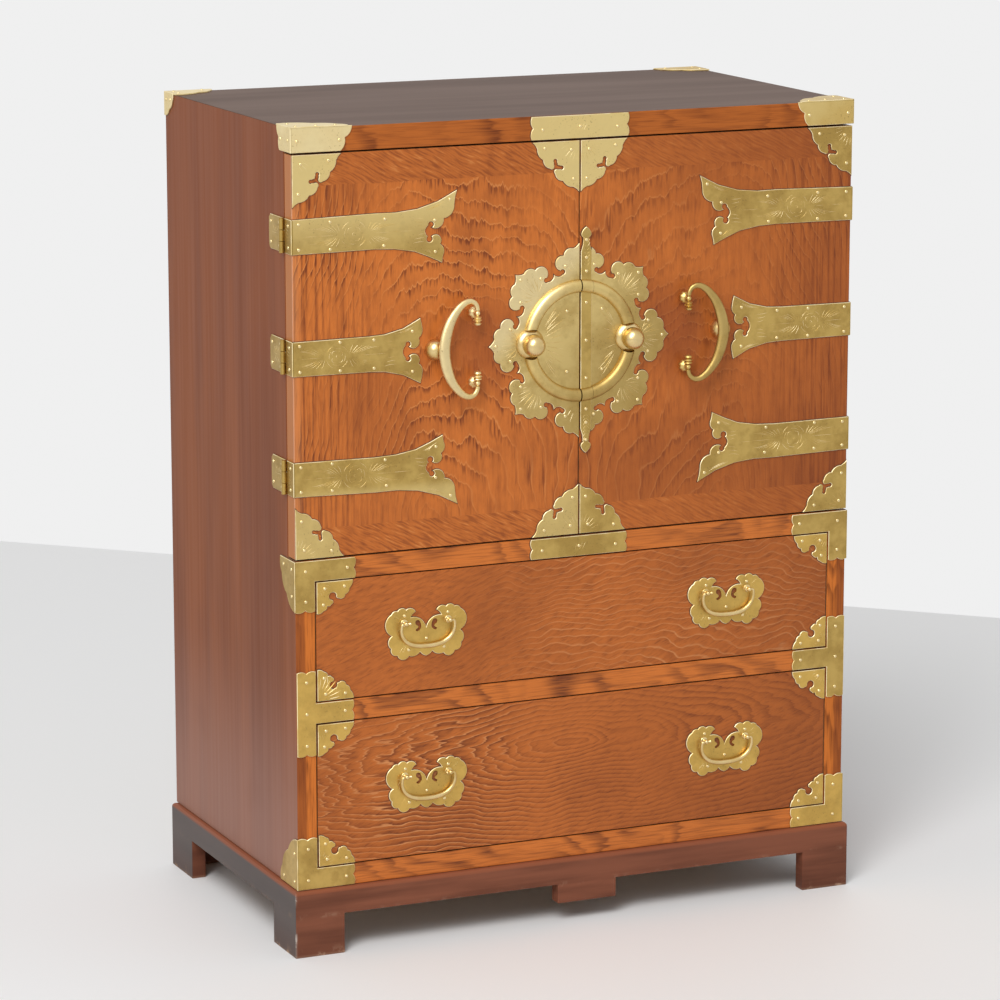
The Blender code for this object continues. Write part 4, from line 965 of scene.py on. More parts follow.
def door_veneer():
    """Flame figure that rises in arches, mirrored from door to door, between two bands."""
    board = Board("door_veneer")
    wood = colours()
    across = abs(board.x)
    coarse = board.stretched(95, 0, 9, detail=3.0, roughness=0.6) - 0.5
    teeth = board.stretched(330, 0, 20) - 0.5
    broad = board.drift(4.2)
    medium = board.drift(9.0)
    fine = board.drift(16.0)
    spread = 0.27 - (across > FLAME_CENTRE) * 0.155
    reach_x = (across - FLAME_CENTRE) / spread
    reach_z = (board.z + coarse * 0.024 + teeth * 0.006 - FLAME_LOW) / FLAME_HEIGHT
    reach = length_of(reach_x, reach_z)
    phase = reach * 16.0 + broad * 8.0 + medium * 3.6 + fine * 1.6
    ring = board.maths("FRACT", phase)
    ticks = board.streaks(400, 0, 34, 0.40, 0.62, detail=1.0)
    rings = (board.between(ring + ticks * 0.30, 0.72, 1.16)
             * board.between(ring, 0.985, 0.955) * (ticks * 0.45 + 0.55))
    pale_line = board.ramp(ring, (
        (0.0, 0.8), (0.03, 1.0), (0.07, 0.25), (0.11, 0.0), (0.97, 0.0), (1.0, 0.8)))
    pores = board.streaks(620, 0, 60, 0.52, 0.70, detail=1.0)
    fibre = board.streaks(210, 0, 15, 0.40, 0.72, detail=3.0, roughness=0.6)
    mottle = board.streaks(75, 0, 42, 0.42, 0.68, detail=4.0, roughness=0.6)
    smudges = board.streaks(62, 0, 15, 0.44, 0.68, detail=4.0, roughness=0.6)
    strength = board.clouds(9.0, 0.38, 0.62) * 0.78 + 0.22
    streaks = board.streaks(240, 0, 5, 0.46, 0.64) * board.between(across, 0.215, 0.340)
    calm = 1.0 - board.between(board.x, -0.10, 0.08) * 0.34
    figure = board.clamp(rings * strength * calm * 0.74 + streaks * 0.55 + mottle * 0.14
                         + smudges * 0.24 + fibre * 0.18 + pores * 0.10)
    flame = wood_tone(board, figure, wood.door_light, wood.door_dark, 6.0, 0.30)
    flame = board.mix(pale_line * strength * calm * 0.40, flame, PALE_FLAME)
    worn_x = (across - HANDLE_WEAR[0]) / 0.8
    worn_z = board.z - HANDLE_WEAR[1]
    near_handle = length_of(worn_x, worn_z) + fine * 0.03
    stained = 1.0 - board.between(near_handle, 0.020, 0.078)
    flame = board.mix(stained * 0.50, flame, wood.door_stain)
    down = board.x * 0.88 - board.z * 0.47
    aside = board.x * 0.47 + board.z * 0.88 + fine * 0.010
    hatch = board.noise(board.vector(down * 46, 0.0, aside * 420), 1.0)
    band_wood = board.mix(board.clamp(board.between(hatch, 0.44, 0.66) * calm * 0.56
                                      + mottle * 0.15),
                          mixed(wood.door_light, wood.door_dark, 0.26), wood.door_dark)
    band_wood = board.mix(board.between(hatch, 0.42, 0.30) * calm * 0.40, band_wood, PALE_HATCH)
    edge = board.between(fine, -0.3, 0.3) * 0.0016
    upper = board.z + edge > DOOR_HIGH - BAND_HEIGHT
    lower = board.z + edge < DOOR_LOW + BAND_HEIGHT
    band = board.maths("ADD", upper, lower, clamp=True)
    veneer = board.mix(band, flame, band_wood)
    # Painted shade: the doors are painted darker towards the right and lower down, where the key
    # lamp's light falls off, and the upper band darker too.
    shade = board.between(board.x, -0.12, 0.16) * 0.14 + board.between(board.x, 0.10, 0.36) * 0.28
    low_down = board.between(board.z, 0.72, 0.54) * (1.0 - lower)
    shade = shade + low_down * (board.between(board.x, 0.0, 0.1) * 0.12 + 0.10) + upper * 0.10
    veneer = board.mix(shade, veneer, wood.door_dark)
    plain = board.mix(across > CASE_HALF - 0.0015, plain_inside(board, 120, 60, 5), DOOR_EDGE)
    edge_low = board.between(board.x, -CASE_HALF + 0.0012, -CASE_HALF + 0.0004)
    veneer = board.mix(edge_low * 0.5, veneer, RUBBED_ARRIS)
    rubbed = board.between(board.x, -CASE_HALF + 0.014, -CASE_HALF + 0.002) * 0.22
    veneer = board.mix(rubbed, veneer, RUBBED_VENEER)
    colour = board.mix(behind_front(board, *VENEER_EDGE), veneer, plain)
    rough = board.stretched(40, 0, 12) * 0.12 + 0.34
    height = rings * -0.1 + pores * -0.6
    return board.finish(colour, rough, height, 0.20, 0.0004, **WAXED)


def drawer_veneer():
    """Long figure: fine arches on the upper drawer, zigzag loops on the lower one."""
    board = Board("drawer_veneer")
    wood = colours()
    broad = board.drift(4.0)
    medium = board.drift(10.0, 3.0)
    fine = board.drift(15.0)
    teeth = board.stretched(7, 0, 80, detail=3.0, roughness=0.6) - 0.5
    jagged = board.stretched(22, 0, 260) - 0.5
    leftward = board.between(board.x, 0.08, -0.28)
    low_x = (board.x + teeth * (leftward * 0.08 + 0.05) + jagged * 0.016) / 0.30
    low_z = (board.z - 0.222) / 0.062
    low_phase = length_of(low_x, low_z) * 11.0 + broad * 5.0 + medium * 4.0 + fine * 1.6
    high_x = (board.x + teeth * 0.03 + jagged * 0.012 - 0.02) / 0.62
    high_z = (board.z - 0.235) / 0.20
    high_phase = length_of(high_x, high_z) * 26.0 + broad * 14.0 + medium * 7.0 + fine * 3.0
    is_low = board.z < MIDDLE_RAIL + RAIL_HEIGHT / 2
    low_rings = ring_tone(board, low_phase)
    high_rings = ring_tone(board, high_phase)
    along = board.x * 0.93 + board.z * 0.37
    across = board.z * 0.93 - board.x * 0.37
    pores = board.between(board.noise(board.vector(along * 75, 0.0, across * 620), 1.0,
                                      detail=1.0), 0.52, 0.70)
    silk = board.noise(board.vector(along * 16, 0.0, across * 240), 1.0)
    mottle = board.between(board.noise(board.vector(along * 46, 0.0, across * 150), 1.0,
                                       detail=4.0, roughness=0.6), 0.40, 0.66)
    strength = board.clouds(9.0, 0.36, 0.62) * 0.5 + 0.5
    rings = (low_rings * is_low * (leftward * 0.40 + 0.66) * strength
             + high_rings * strength * 0.22 * (1.0 - is_low))
    figure = board.clamp(rings * (silk * 0.7 + 0.6) + pores * 0.30
                         + mottle * (0.26 - is_low * 0.12))
    veneer = wood_tone(board, figure, wood.drawer_light, wood.drawer_dark, 5.0, 0.30)
    contour = board.maths("FRACT", low_phase * is_low + high_phase * (1.0 - is_low))
    pale_line = board.ramp(contour, (
        (0.0, 0.8), (0.06, 1.0), (0.14, 0.3), (0.22, 0.0), (0.94, 0.0), (1.0, 0.8)))
    shown = is_low * leftward + (1.0 - is_low) * board.between(board.x, -0.16, 0.02) * 0.7
    veneer = board.mix(pale_line * shown * strength * 0.70, veneer, PALE_LOOP)
    # Painted shade: the drawers are painted darker towards the right, where the key lamp's light
    # falls off.
    shade = board.between(board.x, 0.02, 0.36) * 0.32
    veneer = board.mix(shade, veneer, wood.drawer_dark)
    # Painted shade in the pierced holes of the pull plates, where the wood lies under the brass.
    hook_x = abs(abs(board.x) - PULL_OFFSET) - HOOK_OFFSET
    for level in LEVELS:
        hook_z = board.z - (drawer_middle(level) + 0.0076)
        inside = (hook_x * hook_x * 49000 + hook_z * hook_z * 17800) ** 0.5
        veneer = board.mix(board.between(inside, 1.25, 0.95) * 0.55, veneer, HOOK_SHADE)
    colour = board.mix(behind_front(board, *VENEER_EDGE), veneer, plain_inside(board, 5, 60, 120))
    rough = board.stretched(12, 0, 40) * 0.12 + 0.35
    height = figure * -0.5 + pores * -0.6
    return board.finish(colour, rough, height, 0.28, 0.0004, **WAXED)


def behind_front(board, near_edge, far_edge):
    """Return 0 on a board's front and 1 behind it, with a step between two depths."""
    return board.between(board.y, FRONT + near_edge, FRONT + far_edge)


def front_edge_wood(board):
    """Return the colour of the boards' front edges, orange with toothed flames."""
    wood = colours()
    broad = board.drift(7.0)
    stile = abs(board.x) > CASE_HALF - SIDE_THICKNESS
    rail_teeth = board.stretched(8, 0, 150, detail=3.0) - 0.5
    stile_teeth = board.stretched(150, 0, 8, detail=3.0) - 0.5
    rail_phase = (board.x + rail_teeth * 0.085) * 15 + board.z * 20
    stile_phase = (board.z + stile_teeth * 0.085) * 15 + board.x * 20
    phase = rail_phase * (1.0 - stile) + stile_phase * stile + broad * 6.0
    flames = board.ramp(board.maths("FRACT", phase), (
        (0.0, 0.10), (0.34, 0.0), (0.56, 0.42), (0.76, 0.80), (0.88, 0.90), (0.97, 0.25),
        (1.0, 0.10)))
    grain = board.stretched(stile * 500 + 22, 0, 520 - stile * 495, detail=3.0)
    streak = board.between(grain, 0.42, 0.72)
    strength = board.clouds(11.0, 0.36, 0.64, detail=1.0) * 0.65 + 0.12
    figure = board.clamp(flames * strength * 0.90 + streak * 0.40 + broad * 0.3)
    colour = board.mix(figure, wood.case_light, wood.case_dark)
    rim = board.between(abs(board.x) + broad * 0.006,
                        CASE_HALF - SIDE_THICKNESS * 0.55, CASE_HALF - SIDE_THICKNESS * 0.40)
    return board.mix(rim * 0.60, colour, STILE_RIM), streak


def plain_inside(board, x, y, z):
    """Return the colour of the plain wood inside, with its grain's scales along the axes."""
    wood = colours()
    return board.mix(board.stretched(x, y, z, detail=3.0), wood.inner_light, wood.inner_dark)


def case_wood():
    """The boards between the sides: figured front edges and plain faces."""
    board = Board("case_wood")
    edge, streak = front_edge_wood(board)
    colour = board.mix(behind_front(board, 0.0012, 0.0035), edge, plain_inside(board, 6, 90, 90))
    rough = board.noise(board.place, 30.0) * 0.12 + 0.34
    return board.finish(colour, rough, streak * -1.0, 0.25, 0.0003, **WAXED)


def side_wood():
    """The sides: dark, with a soft upright grain, lighter and warmer towards the top."""
    board = Board("side_wood")
    wood = colours()
    edge, streak = front_edge_wood(board)
    soft = board.stretched(14, 14, 1.3, detail=3.0, distortion=0.4)
    grain = board.stretched(160, 160, 3.0, detail=3.0)
    figure = board.clamp(board.between(soft, 0.35, 0.70) * 0.75 + (grain - 0.5) * 0.55)
    face = board.mix(figure, wood.side_light, wood.side_dark)
    face = board.mix(board.between(board.z, 0.45, 0.98) * 0.55, face, wood.side_warm)
    face = board.mix(board.between(board.z, 0.36, 0.10) * 0.60, face, wood.side_worn)
    dark_end = board.clouds(6.0, 0.55, 0.75, detail=3.0)
    face = board.mix(dark_end * 0.25, face, wood.side_dark)
    inside = abs(board.x) < CASE_HALF - 0.001
    inner = board.mix(inside, face, plain_inside(board, 90, 90, 6))
    colour = board.mix(behind_front(board, *BOARD_EDGE), edge, inner)
    rough = board.between(grain, 0.3, 0.7) * 0.10 + 0.36
    return board.finish(colour, rough, grain * -0.6 + streak * -0.3, 0.22, 0.0003, **DULL)


def top_wood():
    """The top: dark and satin, with its grain along the front and a figured front edge."""
    board = Board("top_wood")
    wood = colours()
    edge, streak = front_edge_wood(board)
    soft = board.stretched(1.6, 20, 20, detail=3.0, distortion=0.4)
    grain = board.stretched(4, 190, 190, detail=3.0)
    figure = board.clamp(board.between(soft, 0.30, 0.75) * 0.45 + (grain - 0.5) * 0.4 + 0.15)
    face = board.mix(figure, wood.top_light, wood.top_dark)
    edge = board.mix(0.38, edge, TOP_EDGE)
    below = board.z < CASE_TOP - 0.001
    inner = board.mix(below, face, plain_inside(board, 6, 90, 90))
    colour = board.mix(behind_front(board, *BOARD_EDGE), edge, inner)
    rough = board.between(soft, 0.3, 0.7) * 0.04 + 0.46
    return board.finish(colour, rough, grain * -0.3, 0.2, 0.0003, **DULL)


def plinth_wood():
    """The plinth: reddish, darker at the sides under a grey painted sheen, rubbed pale along its
    lower edges.
    """
    board = Board("plinth_wood")
    wood = colours()
    soft = board.stretched(5, 5, 40, detail=4.0)
    grain = board.stretched(7, 7, 260, detail=3.0)
    figure = board.clamp(board.between(soft, 0.38, 0.70) * 0.6 + (grain - 0.5) * 0.5)
    face = board.mix(figure, wood.plinth_light, wood.plinth_dark)
    across = abs(board.x)
    # Painted sheen: the plinth's sides are painted greyer for the pale light they reflect.
    flank = across > CASE_HALF + 0.0060
    face = board.mix(flank * 0.88, face, wood.plinth_side_sheen)
    # Painted highlight: a lighter reddish line along the plinth's top edge.
    edge = board.between(board.z, 0.0745, 0.0775) * (soft * 0.5 + 0.45)
    face = board.mix(edge, face, PLINTH_TOP_HIGHLIGHT)
    foot = board.between(board.z, 0.046, 0.006) * 0.40
    face = board.mix(foot, face, wood.plinth_dark)
    scuffs = board.clouds(55.0, 0.52, 0.66, detail=4.0, roughness=0.7)
    low = board.between(board.z, 0.0040, 0.0012)
    high = board.between(board.z, FOOT_ARCH_TOP - 0.004, FOOT_ARCH_TOP)
    past = board.between(board.z, FOOT_ARCH_TOP + 0.006, FOOT_ARCH_TOP)
    bruised = board.between(board.z, 0.016, 0.0) * scuffs * 0.35
    worn = board.clamp(low * (scuffs * 0.8 + 0.25) + bruised + high * past * scuffs * 0.25)
    left_edge = board.between(board.x, -CASE_HALF - 0.0035, -CASE_HALF - 0.0062)
    front_edge = board.between(board.y, FRONT - 0.0035, FRONT - 0.0062)
    chips = board.between(board.z, 0.045, 0.0) + board.between(board.z, 0.060, 0.070) * 0.8
    corner = board.clamp(left_edge * front_edge * chips * (scuffs * 1.2 + 0.15))
    face = board.mix(worn * 0.75, face, wood.plinth_worn)
    colour = board.mix(corner * 0.9, face, BARE_WOOD)
    rough = board.clamp(worn * 0.3 + soft * 0.15 + 0.32)
    return board.finish(colour, rough, grain * -0.3 + worn * -1.0, 0.25, 0.0004, **DULL)


def inner_wood():
    """The plain planed wood of the back, the shelf and the drawer boxes."""
    board = Board("inner_wood")
    wood = colours()
    grain = board.stretched(5, 110, 110, detail=4.0, distortion=0.6)
    soft = board.stretched(2, 12, 12)
    figure = board.clamp(grain * 0.6 + board.between(soft, 0.3, 0.7) * 0.4)
    colour = board.mix(figure, wood.inner_light, wood.inner_dark)
    return board.finish(colour, board.between(grain, 0.2, 0.8) * 0.12 + 0.52, grain * -1.0,
                        0.25, 0.0004)


def plate_brass(name, light, dark, share, painted_lift=0.0, painted_dim=0.0):
    """Return satin brushed sheet with olive patches where it has aged.

    The lift is how much painted light brightens it high on the left, and dim how much painted
    shade darkens it towards the lower right, under a painted highlight to the upper left.
    """
    board = Board(name, metallic=1.0)
    cloud = board.noise(board.place, 24.0, detail=4.0, roughness=0.6)
    blotch = board.noise(board.place, 75.0, detail=3.0)
    speck = board.noise(board.place, 420.0)
    brushed = board.stretched(90, 90, 700)
    aged = board.between(cloud, 0.36, 0.66)
    colour = board.mix(aged * share, light, dark)
    colour = board.mix(board.between(blotch, 0.48, 0.68) * share * 0.55, colour, dark)
    # Painted light: plates on the front are painted brighter high on the left and low on the left
    # door, and plates on the left side darker above mid-height.
    high_left = board.between(board.z, 0.815, 0.900) * board.between(board.x, 0.17, 0.05)
    low_left = (board.between(board.z, DOOR_LOW - 0.0008, DOOR_LOW)
                * board.between(board.z, 0.560, 0.545) * board.between(board.x, 0.01, -0.01))
    front = board.x > -CASE_HALF + 0.0005
    colour = board.mix((high_left + low_left * 0.55) * front * painted_lift, colour, colours().cap_light)
    colour = board.mix((1.0 - front) * board.between(board.z, 0.48, 0.50) * painted_lift * 0.45, colour,
                       dark)
    # Painted shade towards the lower right of the lock, and a painted highlight towards its upper
    # left.
    rightward = board.between(board.x - board.z + LOCK_CENTRE, -0.070, 0.110)
    colour = board.mix(rightward * painted_dim, colour, dark)
    leftmost = board.between(board.x - board.z + LOCK_CENTRE, -0.070, -0.115)
    colour = board.mix(leftmost * painted_dim * 0.75, colour, colours().stroke_highlight)
    spots = board.between(speck, 0.60, 0.72) * board.between(cloud, 0.46, 0.60)
    colour = board.mix(spots * 0.45, colour, BRASS_SPOT)
    rough = board.clamp(aged * 0.12 + (brushed - 0.5) * 0.12 + 0.36)
    height = brushed * 0.35 + cloud * 1.2 + blotch * 0.25
    return board.finish(colour, rough, height, 0.20, 0.0010)


def sheet_brass():
    """The plates on the doors, drawers and rails."""
    return plate_brass("sheet_brass", colours().sheet_light, colours().sheet_dark, 0.70, painted_lift=0.80)


def lock_brass():
    """The lock plate, rubbed a little brighter."""
    brass = colours()
    return plate_brass("lock_brass", mixed(brass.sheet_light, brass.cap_light, 0.62),
                       brass.sheet_dark, 0.48, painted_dim=0.62)


def gold_brass():
    """The plates on the drawers, more golden than the rest."""
    brass = colours()
    return plate_brass("gold_brass", brass.gold_light,
                       mixed(brass.gold_light, brass.sheet_dark, 0.75), 0.55)


def cap_brass():
    """The caps on the corners, rubbed bright."""
    return plate_brass("cap_brass", colours().cap_light, colours().sheet_light, 0.50, painted_dim=0.65)


def polished_rim_and_highlight():
    """The chamfer round each plate: polished brass, painted paler too, as a painted highlight that
    reads on every side, also where it faces away from the light.
    """
    board = Board("polished_rim_and_highlight", metallic=0.55)
    cloud = board.noise(board.place, 60.0)
    brass = colours()
    colour = board.mix(board.between(cloud, 0.40, 0.70), brass.stroke_highlight,
                       mixed(brass.cap_light, brass.sheet_light, 0.4))
    return board.finish(colour, cloud * 0.1 + 0.42)


def cast_brass():
    """Hand-polished cast brass: pale and bright, darker only in faint clouds."""
    board = Board("cast_brass", metallic=1.0)
    brass = colours()
    cloud = board.noise(board.place, 45.0, detail=3.0)
    colour = board.mix(board.between(cloud, 0.35, 0.70) * 0.65, brass.cast_light,
                       brass.sheet_light)
    rough = board.between(cloud, 0.3, 0.8) * 0.12 + 0.27
    return board.finish(colour, rough, board.noise(board.place, 160.0) * 0.5, 0.06, 0.0006)


def nail_brass():
    """The bright heads of the nails."""
    board = Board("nail_brass", metallic=1.0)
    speck = board.noise(board.place, 300.0)
    colour = board.mix(board.between(speck, 0.4, 0.7) * 0.3, NAIL_LIGHT, NAIL_DARK)
    return board.finish(colour, speck * 0.1 + 0.22)


def engraved_line():
    """An engraved stroke, painted paler than the sheet as a painted highlight along the cut,
    whichever way the light falls.
    """
    board = Board("engraved_line", metallic=1.0)
    cloud = board.noise(board.place, 60.0)
    brass = colours()
    colour = board.mix(board.between(cloud, 0.35, 0.65), brass.stroke_highlight, brass.sheet_light)
    return board.finish(colour, cloud * 0.1 + 0.46)


def wax_and_shadow_line():
    """Old wax and polish round the plates, painted darker as well to stand in for the shadow along
    their edges.
    """
    board = Board("wax_and_shadow_line")
    speck = board.noise(board.place, 150.0, detail=3.0)
    colour = board.mix(board.between(speck, 0.35, 0.7), WAX_AND_SHADOW_DARK, WAX_AND_SHADOW_BROWN)
    return board.finish(colour, speck * 0.2 + 0.45)


def mixed(first, second, share):
    """Return a plain colour between two others."""
    return tuple(one + (other - one) * share for one, other in zip(first, second))


FINISHES = (door_veneer, drawer_veneer, case_wood, side_wood, top_wood, plinth_wood, inner_wood,
            sheet_brass, lock_brass, gold_brass, cap_brass, polished_rim_and_highlight, cast_brass, nail_brass,
            engraved_line, wax_and_shadow_line)


# Makers

BOARD_WELD = 0.00001
FLAT_ANGLE = math.radians(1)
EDGE_ANGLE = math.radians(40)
EDGE_SEGMENTS = 3


def soften(name, material):
    """Give a board of the solids its finish and softly rounded edges."""
    item = paint(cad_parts[name], material)
    with_settings(item.modifiers.new("Weld", "WELD"), merge_threshold=BOARD_WELD)
    with_settings(item.modifiers.new("Whole faces", "DECIMATE"), decimate_type="DISSOLVE",
                  angle_limit=FLAT_ANGLE)
    with_settings(item.modifiers.new("Soft edges", "BEVEL"), width=sizes().board_edge,
                  segments=EDGE_SEGMENTS, limit_method="ANGLE", angle_limit=EDGE_ANGLE)


WOOD_OF = {
    "door_left": "door_veneer", "door_right": "door_veneer",
    "drawer_front_upper": "drawer_veneer", "drawer_front_lower": "drawer_veneer",
    "cupboard_floor": "case_wood", "drawer_divider": "case_wood", "case_bottom": "case_wood",
    "side_left": "side_wood", "side_right": "side_wood", "top_board": "top_wood",
    "plinth": "plinth_wood", "back_panel": "inner_wood", "shelf": "inner_wood",
    "drawer_box_upper": "inner_wood", "drawer_box_lower": "inner_wood",
}


def strap_outline(middle):
    """Return a strap's outline with its hinge edge on the y axis."""
    if middle:
        half = scaled(MIDDLE_STRAP_SHARES, MIDDLE_STRAP_LENGTH, MIDDLE_STRAP_FLARE)
        return outline(flipped([*half, (0, HINGE_HALF_HEIGHT, 0)]))
    return outline([(0, -HINGE_HALF_HEIGHT, 0), *scaled(STRAP_SHARES, STRAP_LENGTH, STRAP_FLARE),
                    (0, HINGE_HALF_HEIGHT, 0)])


def medallion(x, y, reach):
    """Return the strokes of a round medallion: broken rings and curls."""
    lines = []
    for quarter_turn in range(0, 360, 90):
        lines.append(curl(x, y, reach, quarter_turn + 8, quarter_turn + 82))
        lines.append(curl(x, y, reach * 0.74, quarter_turn + 40, quarter_turn + 118))
        angle = math.radians(quarter_turn + 45)
        lines.append(curl(x + reach * 0.36 * math.cos(angle), y + reach * 0.36 * math.sin(angle),
                          reach * 0.24, quarter_turn - 80, quarter_turn + 150))
    lines.append(curl(x, y, reach * 0.12, 0, 350, 6))
    return lines


def strap_strokes(middle):
    """Return a strap's engraved strokes: a medallion, ferns on both sides and a fan."""
    centre, reach, notch = MIDDLE_STRAP_MARKS if middle else STRAP_MARKS
    length = MIDDLE_STRAP_LENGTH if middle else STRAP_LENGTH
    flare = MIDDLE_STRAP_FLARE if middle else STRAP_FLARE
    long_tip = (length * 0.966, flare * 0.82)
    short_tip = long_tip if middle else (length * 0.890, flare * 0.76)
    lines = medallion(centre, 0, reach)
    for up, tip in ((-1, short_tip), (1, long_tip)):
        for step in range(6):
            out = reach + 0.0015 + 0.0014 * step
            end = reach + 0.008 + 0.0072 * step
            rise = 0.0152 - 0.0013 * step
            lines.append(swept((centre + out, up * 0.0007), (centre + end, up * rise), -up * 0.30))
            lines.append(swept((centre - out, up * 0.0007),
                               (max(centre - end, 0.0035), up * rise), up * 0.30))
        for step in range(3):
            lines.append(swept((notch - 0.018 + 0.003 * step, up * (0.0158 - 0.0045 * step)),
                               (notch + 0.002, up * (0.0140 - 0.0048 * step)), up * 0.25))
            lines.append(swept((notch - 0.008 + 0.005 * step, up * (0.0205 + 0.0006 * step)),
                               (tip[0] - 0.0045 * step, up * (tip[1] - 0.0028 * step)),
                               up * 0.12))
    lines.append(swept((centre + reach + 0.002, 0), (notch - 0.006, 0), 0, 4))
    lines.append(swept((centre - reach - 0.002, 0), (0.006, 0), 0, 4))
    return lines


def knuckle(sign, low, high):
    """Return the piece of a hinge's barrel between two heights."""
    foot = Vector((sign * HINGE_X, FRONT + HINGE_DEPTH, low))
    return paint(rod(foot, foot + Vector((0, 0, high - low)), BARREL_RADIUS), "sheet_brass")


def make_straps():
    """Make the six hinge straps, each with its turn round the door's edge and its knuckle."""
    shoulder = HINGE_DEPTH - BARREL_RADIUS - KNUCKLE_GAP
    half = HINGE_HALF_HEIGHT
    tongue = STRAP_KNUCKLE / 2
    turn = outline(heightened([(-PLATE_OUT, -half, 0), (shoulder, -half, 0),
                               (shoulder, -tongue, 0), (HINGE_DEPTH, -tongue, 0)]))
    side_lines = [swept((0.0035, 0.0030 * step), (0.0165, 0.0052 * step), 0.25, 4)
                  for step in range(-3, 4)]
    for word, sign in SIDES:
        for row, z in HINGE_ROWS:
            middle, up = row == "middle", -1 if row == "bottom" else 1
            edge = sign * FOLD_EDGE
            limits = (min(edge, 0), DOOR_LOW, max(edge, 0), DOOR_HIGH)
            here = moved(front_frame(), edge, z, -sign, up)
            beside = moved(side_frame(sign), 0, z)
            loop = placed(strap_outline(middle), edge, z, -sign, up)
            parts = [plate(loop, front_frame(), wax_shadow_area=limits),
                     plate(turn, beside),
                     knuckle(sign, z - tongue, z + tongue),
                     nails(MIDDLE_STRAP_NAILS if middle else STRAP_NAILS, here),
                     nails(((0.008, 0.0125), (0.008, -0.0125)), beside),
                     strokes(strap_strokes(middle), here, share=1.1),
                     strokes(side_lines, beside)]
            name = f"strap_{word}_{row}"
            keep(name, parts, f"{word}_door", "sheet_brass", name)


def make_leaves():
    """Make the six hinge leaves on the sides of the case."""
    shoulder = HINGE_DEPTH + BARREL_RADIUS + KNUCKLE_GAP
    half = HINGE_HALF_HEIGHT
    tongue = STRAP_KNUCKLE / 2 + KNUCKLE_GAP
    loop = outline(heightened([
        (shoulder, -tongue, 0), (HINGE_DEPTH, -tongue, 0), (HINGE_DEPTH, -half, 0),
        (LEAF_REACH - LEAF_CLIP, -half, 0), (LEAF_REACH, LEAF_CLIP - half, 0)]))
    fern = [swept((0.0330 + 0.0055 * step, 0), (0.0400 + 0.0055 * step, up * 0.0105),
                  -up * 0.3, 4) for step in range(4) for up in (-1, 1)]
    fern.append(swept((0.030, 0), (0.062, 0), 0, 4))
    for word, sign in SIDES:
        for row, z in HINGE_ROWS:
            here = moved(side_frame(sign), 0, z)
            parts = [plate(loop, here),
                     knuckle(sign, z - half, z - tongue),
                     knuckle(sign, z + tongue, z + half),
                     nails(LEAF_NAILS, here),
                     strokes(fern, here)]
            name = f"leaf_{word}_{row}"
            keep(name, parts, "case", "sheet_brass", name)


def lock_outline():
    """Return the outline of the lock plate with its lobes."""
    half = scaled(LOBE_SHARES, LOCK_REACH, LOCK_REACH)
    step = 2 * math.pi / LOBES
    cusp = Vector((math.cos(step / 2), math.sin(step / 2))) * LOCK_REACH * CUSP_REACH_SHARE
    points = [(cusp.x, -cusp.y, half[-1][2]), *flipped(half)]
    loop = []
    for turn in range(LOBES):
        swing = Matrix.Rotation(turn * step, 2)
        for here, after in zip(points, (*points[1:], (*cusp, 0))):
            loop.extend(arc(swing @ Vector(here[:2]), swing @ Vector(after[:2]), here[2]))
    return loop


def ring(pose):
    """Return the raised half-round ring: its section, spun once round."""
    deselect()
    bpy.ops.mesh.primitive_circle_add(vertices=24, radius=1, fill_type="NOTHING")
    item = bpy.context.object
    for corner in item.data.vertices:
        out, up = corner.co.x, corner.co.y
        corner.co = (RING_RADIUS + out * RING_WIDTH / 2, 0,
                     up * RING_HEIGHT if up > 0 else -PLATE / 2)
    edit(item)
    bpy.ops.mesh.spin(steps=120, angle=2 * math.pi, center=(0, 0, 0), axis=(0, 0, 1))
    bpy.ops.mesh.select_all(action="SELECT")
    bpy.ops.mesh.remove_doubles(threshold=0.00001)
    bpy.ops.object.mode_set(mode="OBJECT")
    item.data.transform(pose)
    return outward(paint(item, "lock_brass"))


def lobe_strokes():
    """Return the engraved strokes of the lock plate: a leaf in each lobe and rays inside."""
    tips = ((0.1060, 0.0), (0.1030, 0.0095), (0.0955, 0.0165), (0.0865, 0.0190))
    lines = []
    for turn in range(LOBES):
        swing = Matrix.Rotation(2 * math.pi * turn / LOBES, 2)
        local = [swept((0.0795, 0), tips[0], 0)]
        for side in (-1, 1):
            for step in range(1, len(tips)):
                out, aside = tips[step]
                local.append(swept((0.0795, side * 0.0010 * step), (out, side * aside),
                                   -side * 0.12))
                local.append(swept((0.0900 - 0.0030 * step, side * 0.0034 * step),
                                   (out + 0.0035, side * (aside - 0.0030)), -side * 0.10))
        lines.extend([swing @ place for place in line] for line in local)
    for side in (-1, 1):
        for step in range(-5, 6):
            end = Vector((side * 0.0165, 0.0096 * step))
            end.x += side * max(0, abs(step) - 3) * 0.004
            lines.append(swept((side * 0.0475, 0.0026 * step), end, side * 0.035 * step))
        for step in range(-3, 4):
            lines.append(swept((side * (0.050 - 0.0022 * abs(step)), 0.0062 * step),
                               (side * (0.030 - 0.0010 * abs(step)), 0.0130 * step),
                               side * 0.08 * step))
    return lines


def clear_of_seam(lines, low, high):
    """Return the strokes that lie wholly between two places across."""
    return [line for line in lines if all(low < place[0] < high for place in line)]


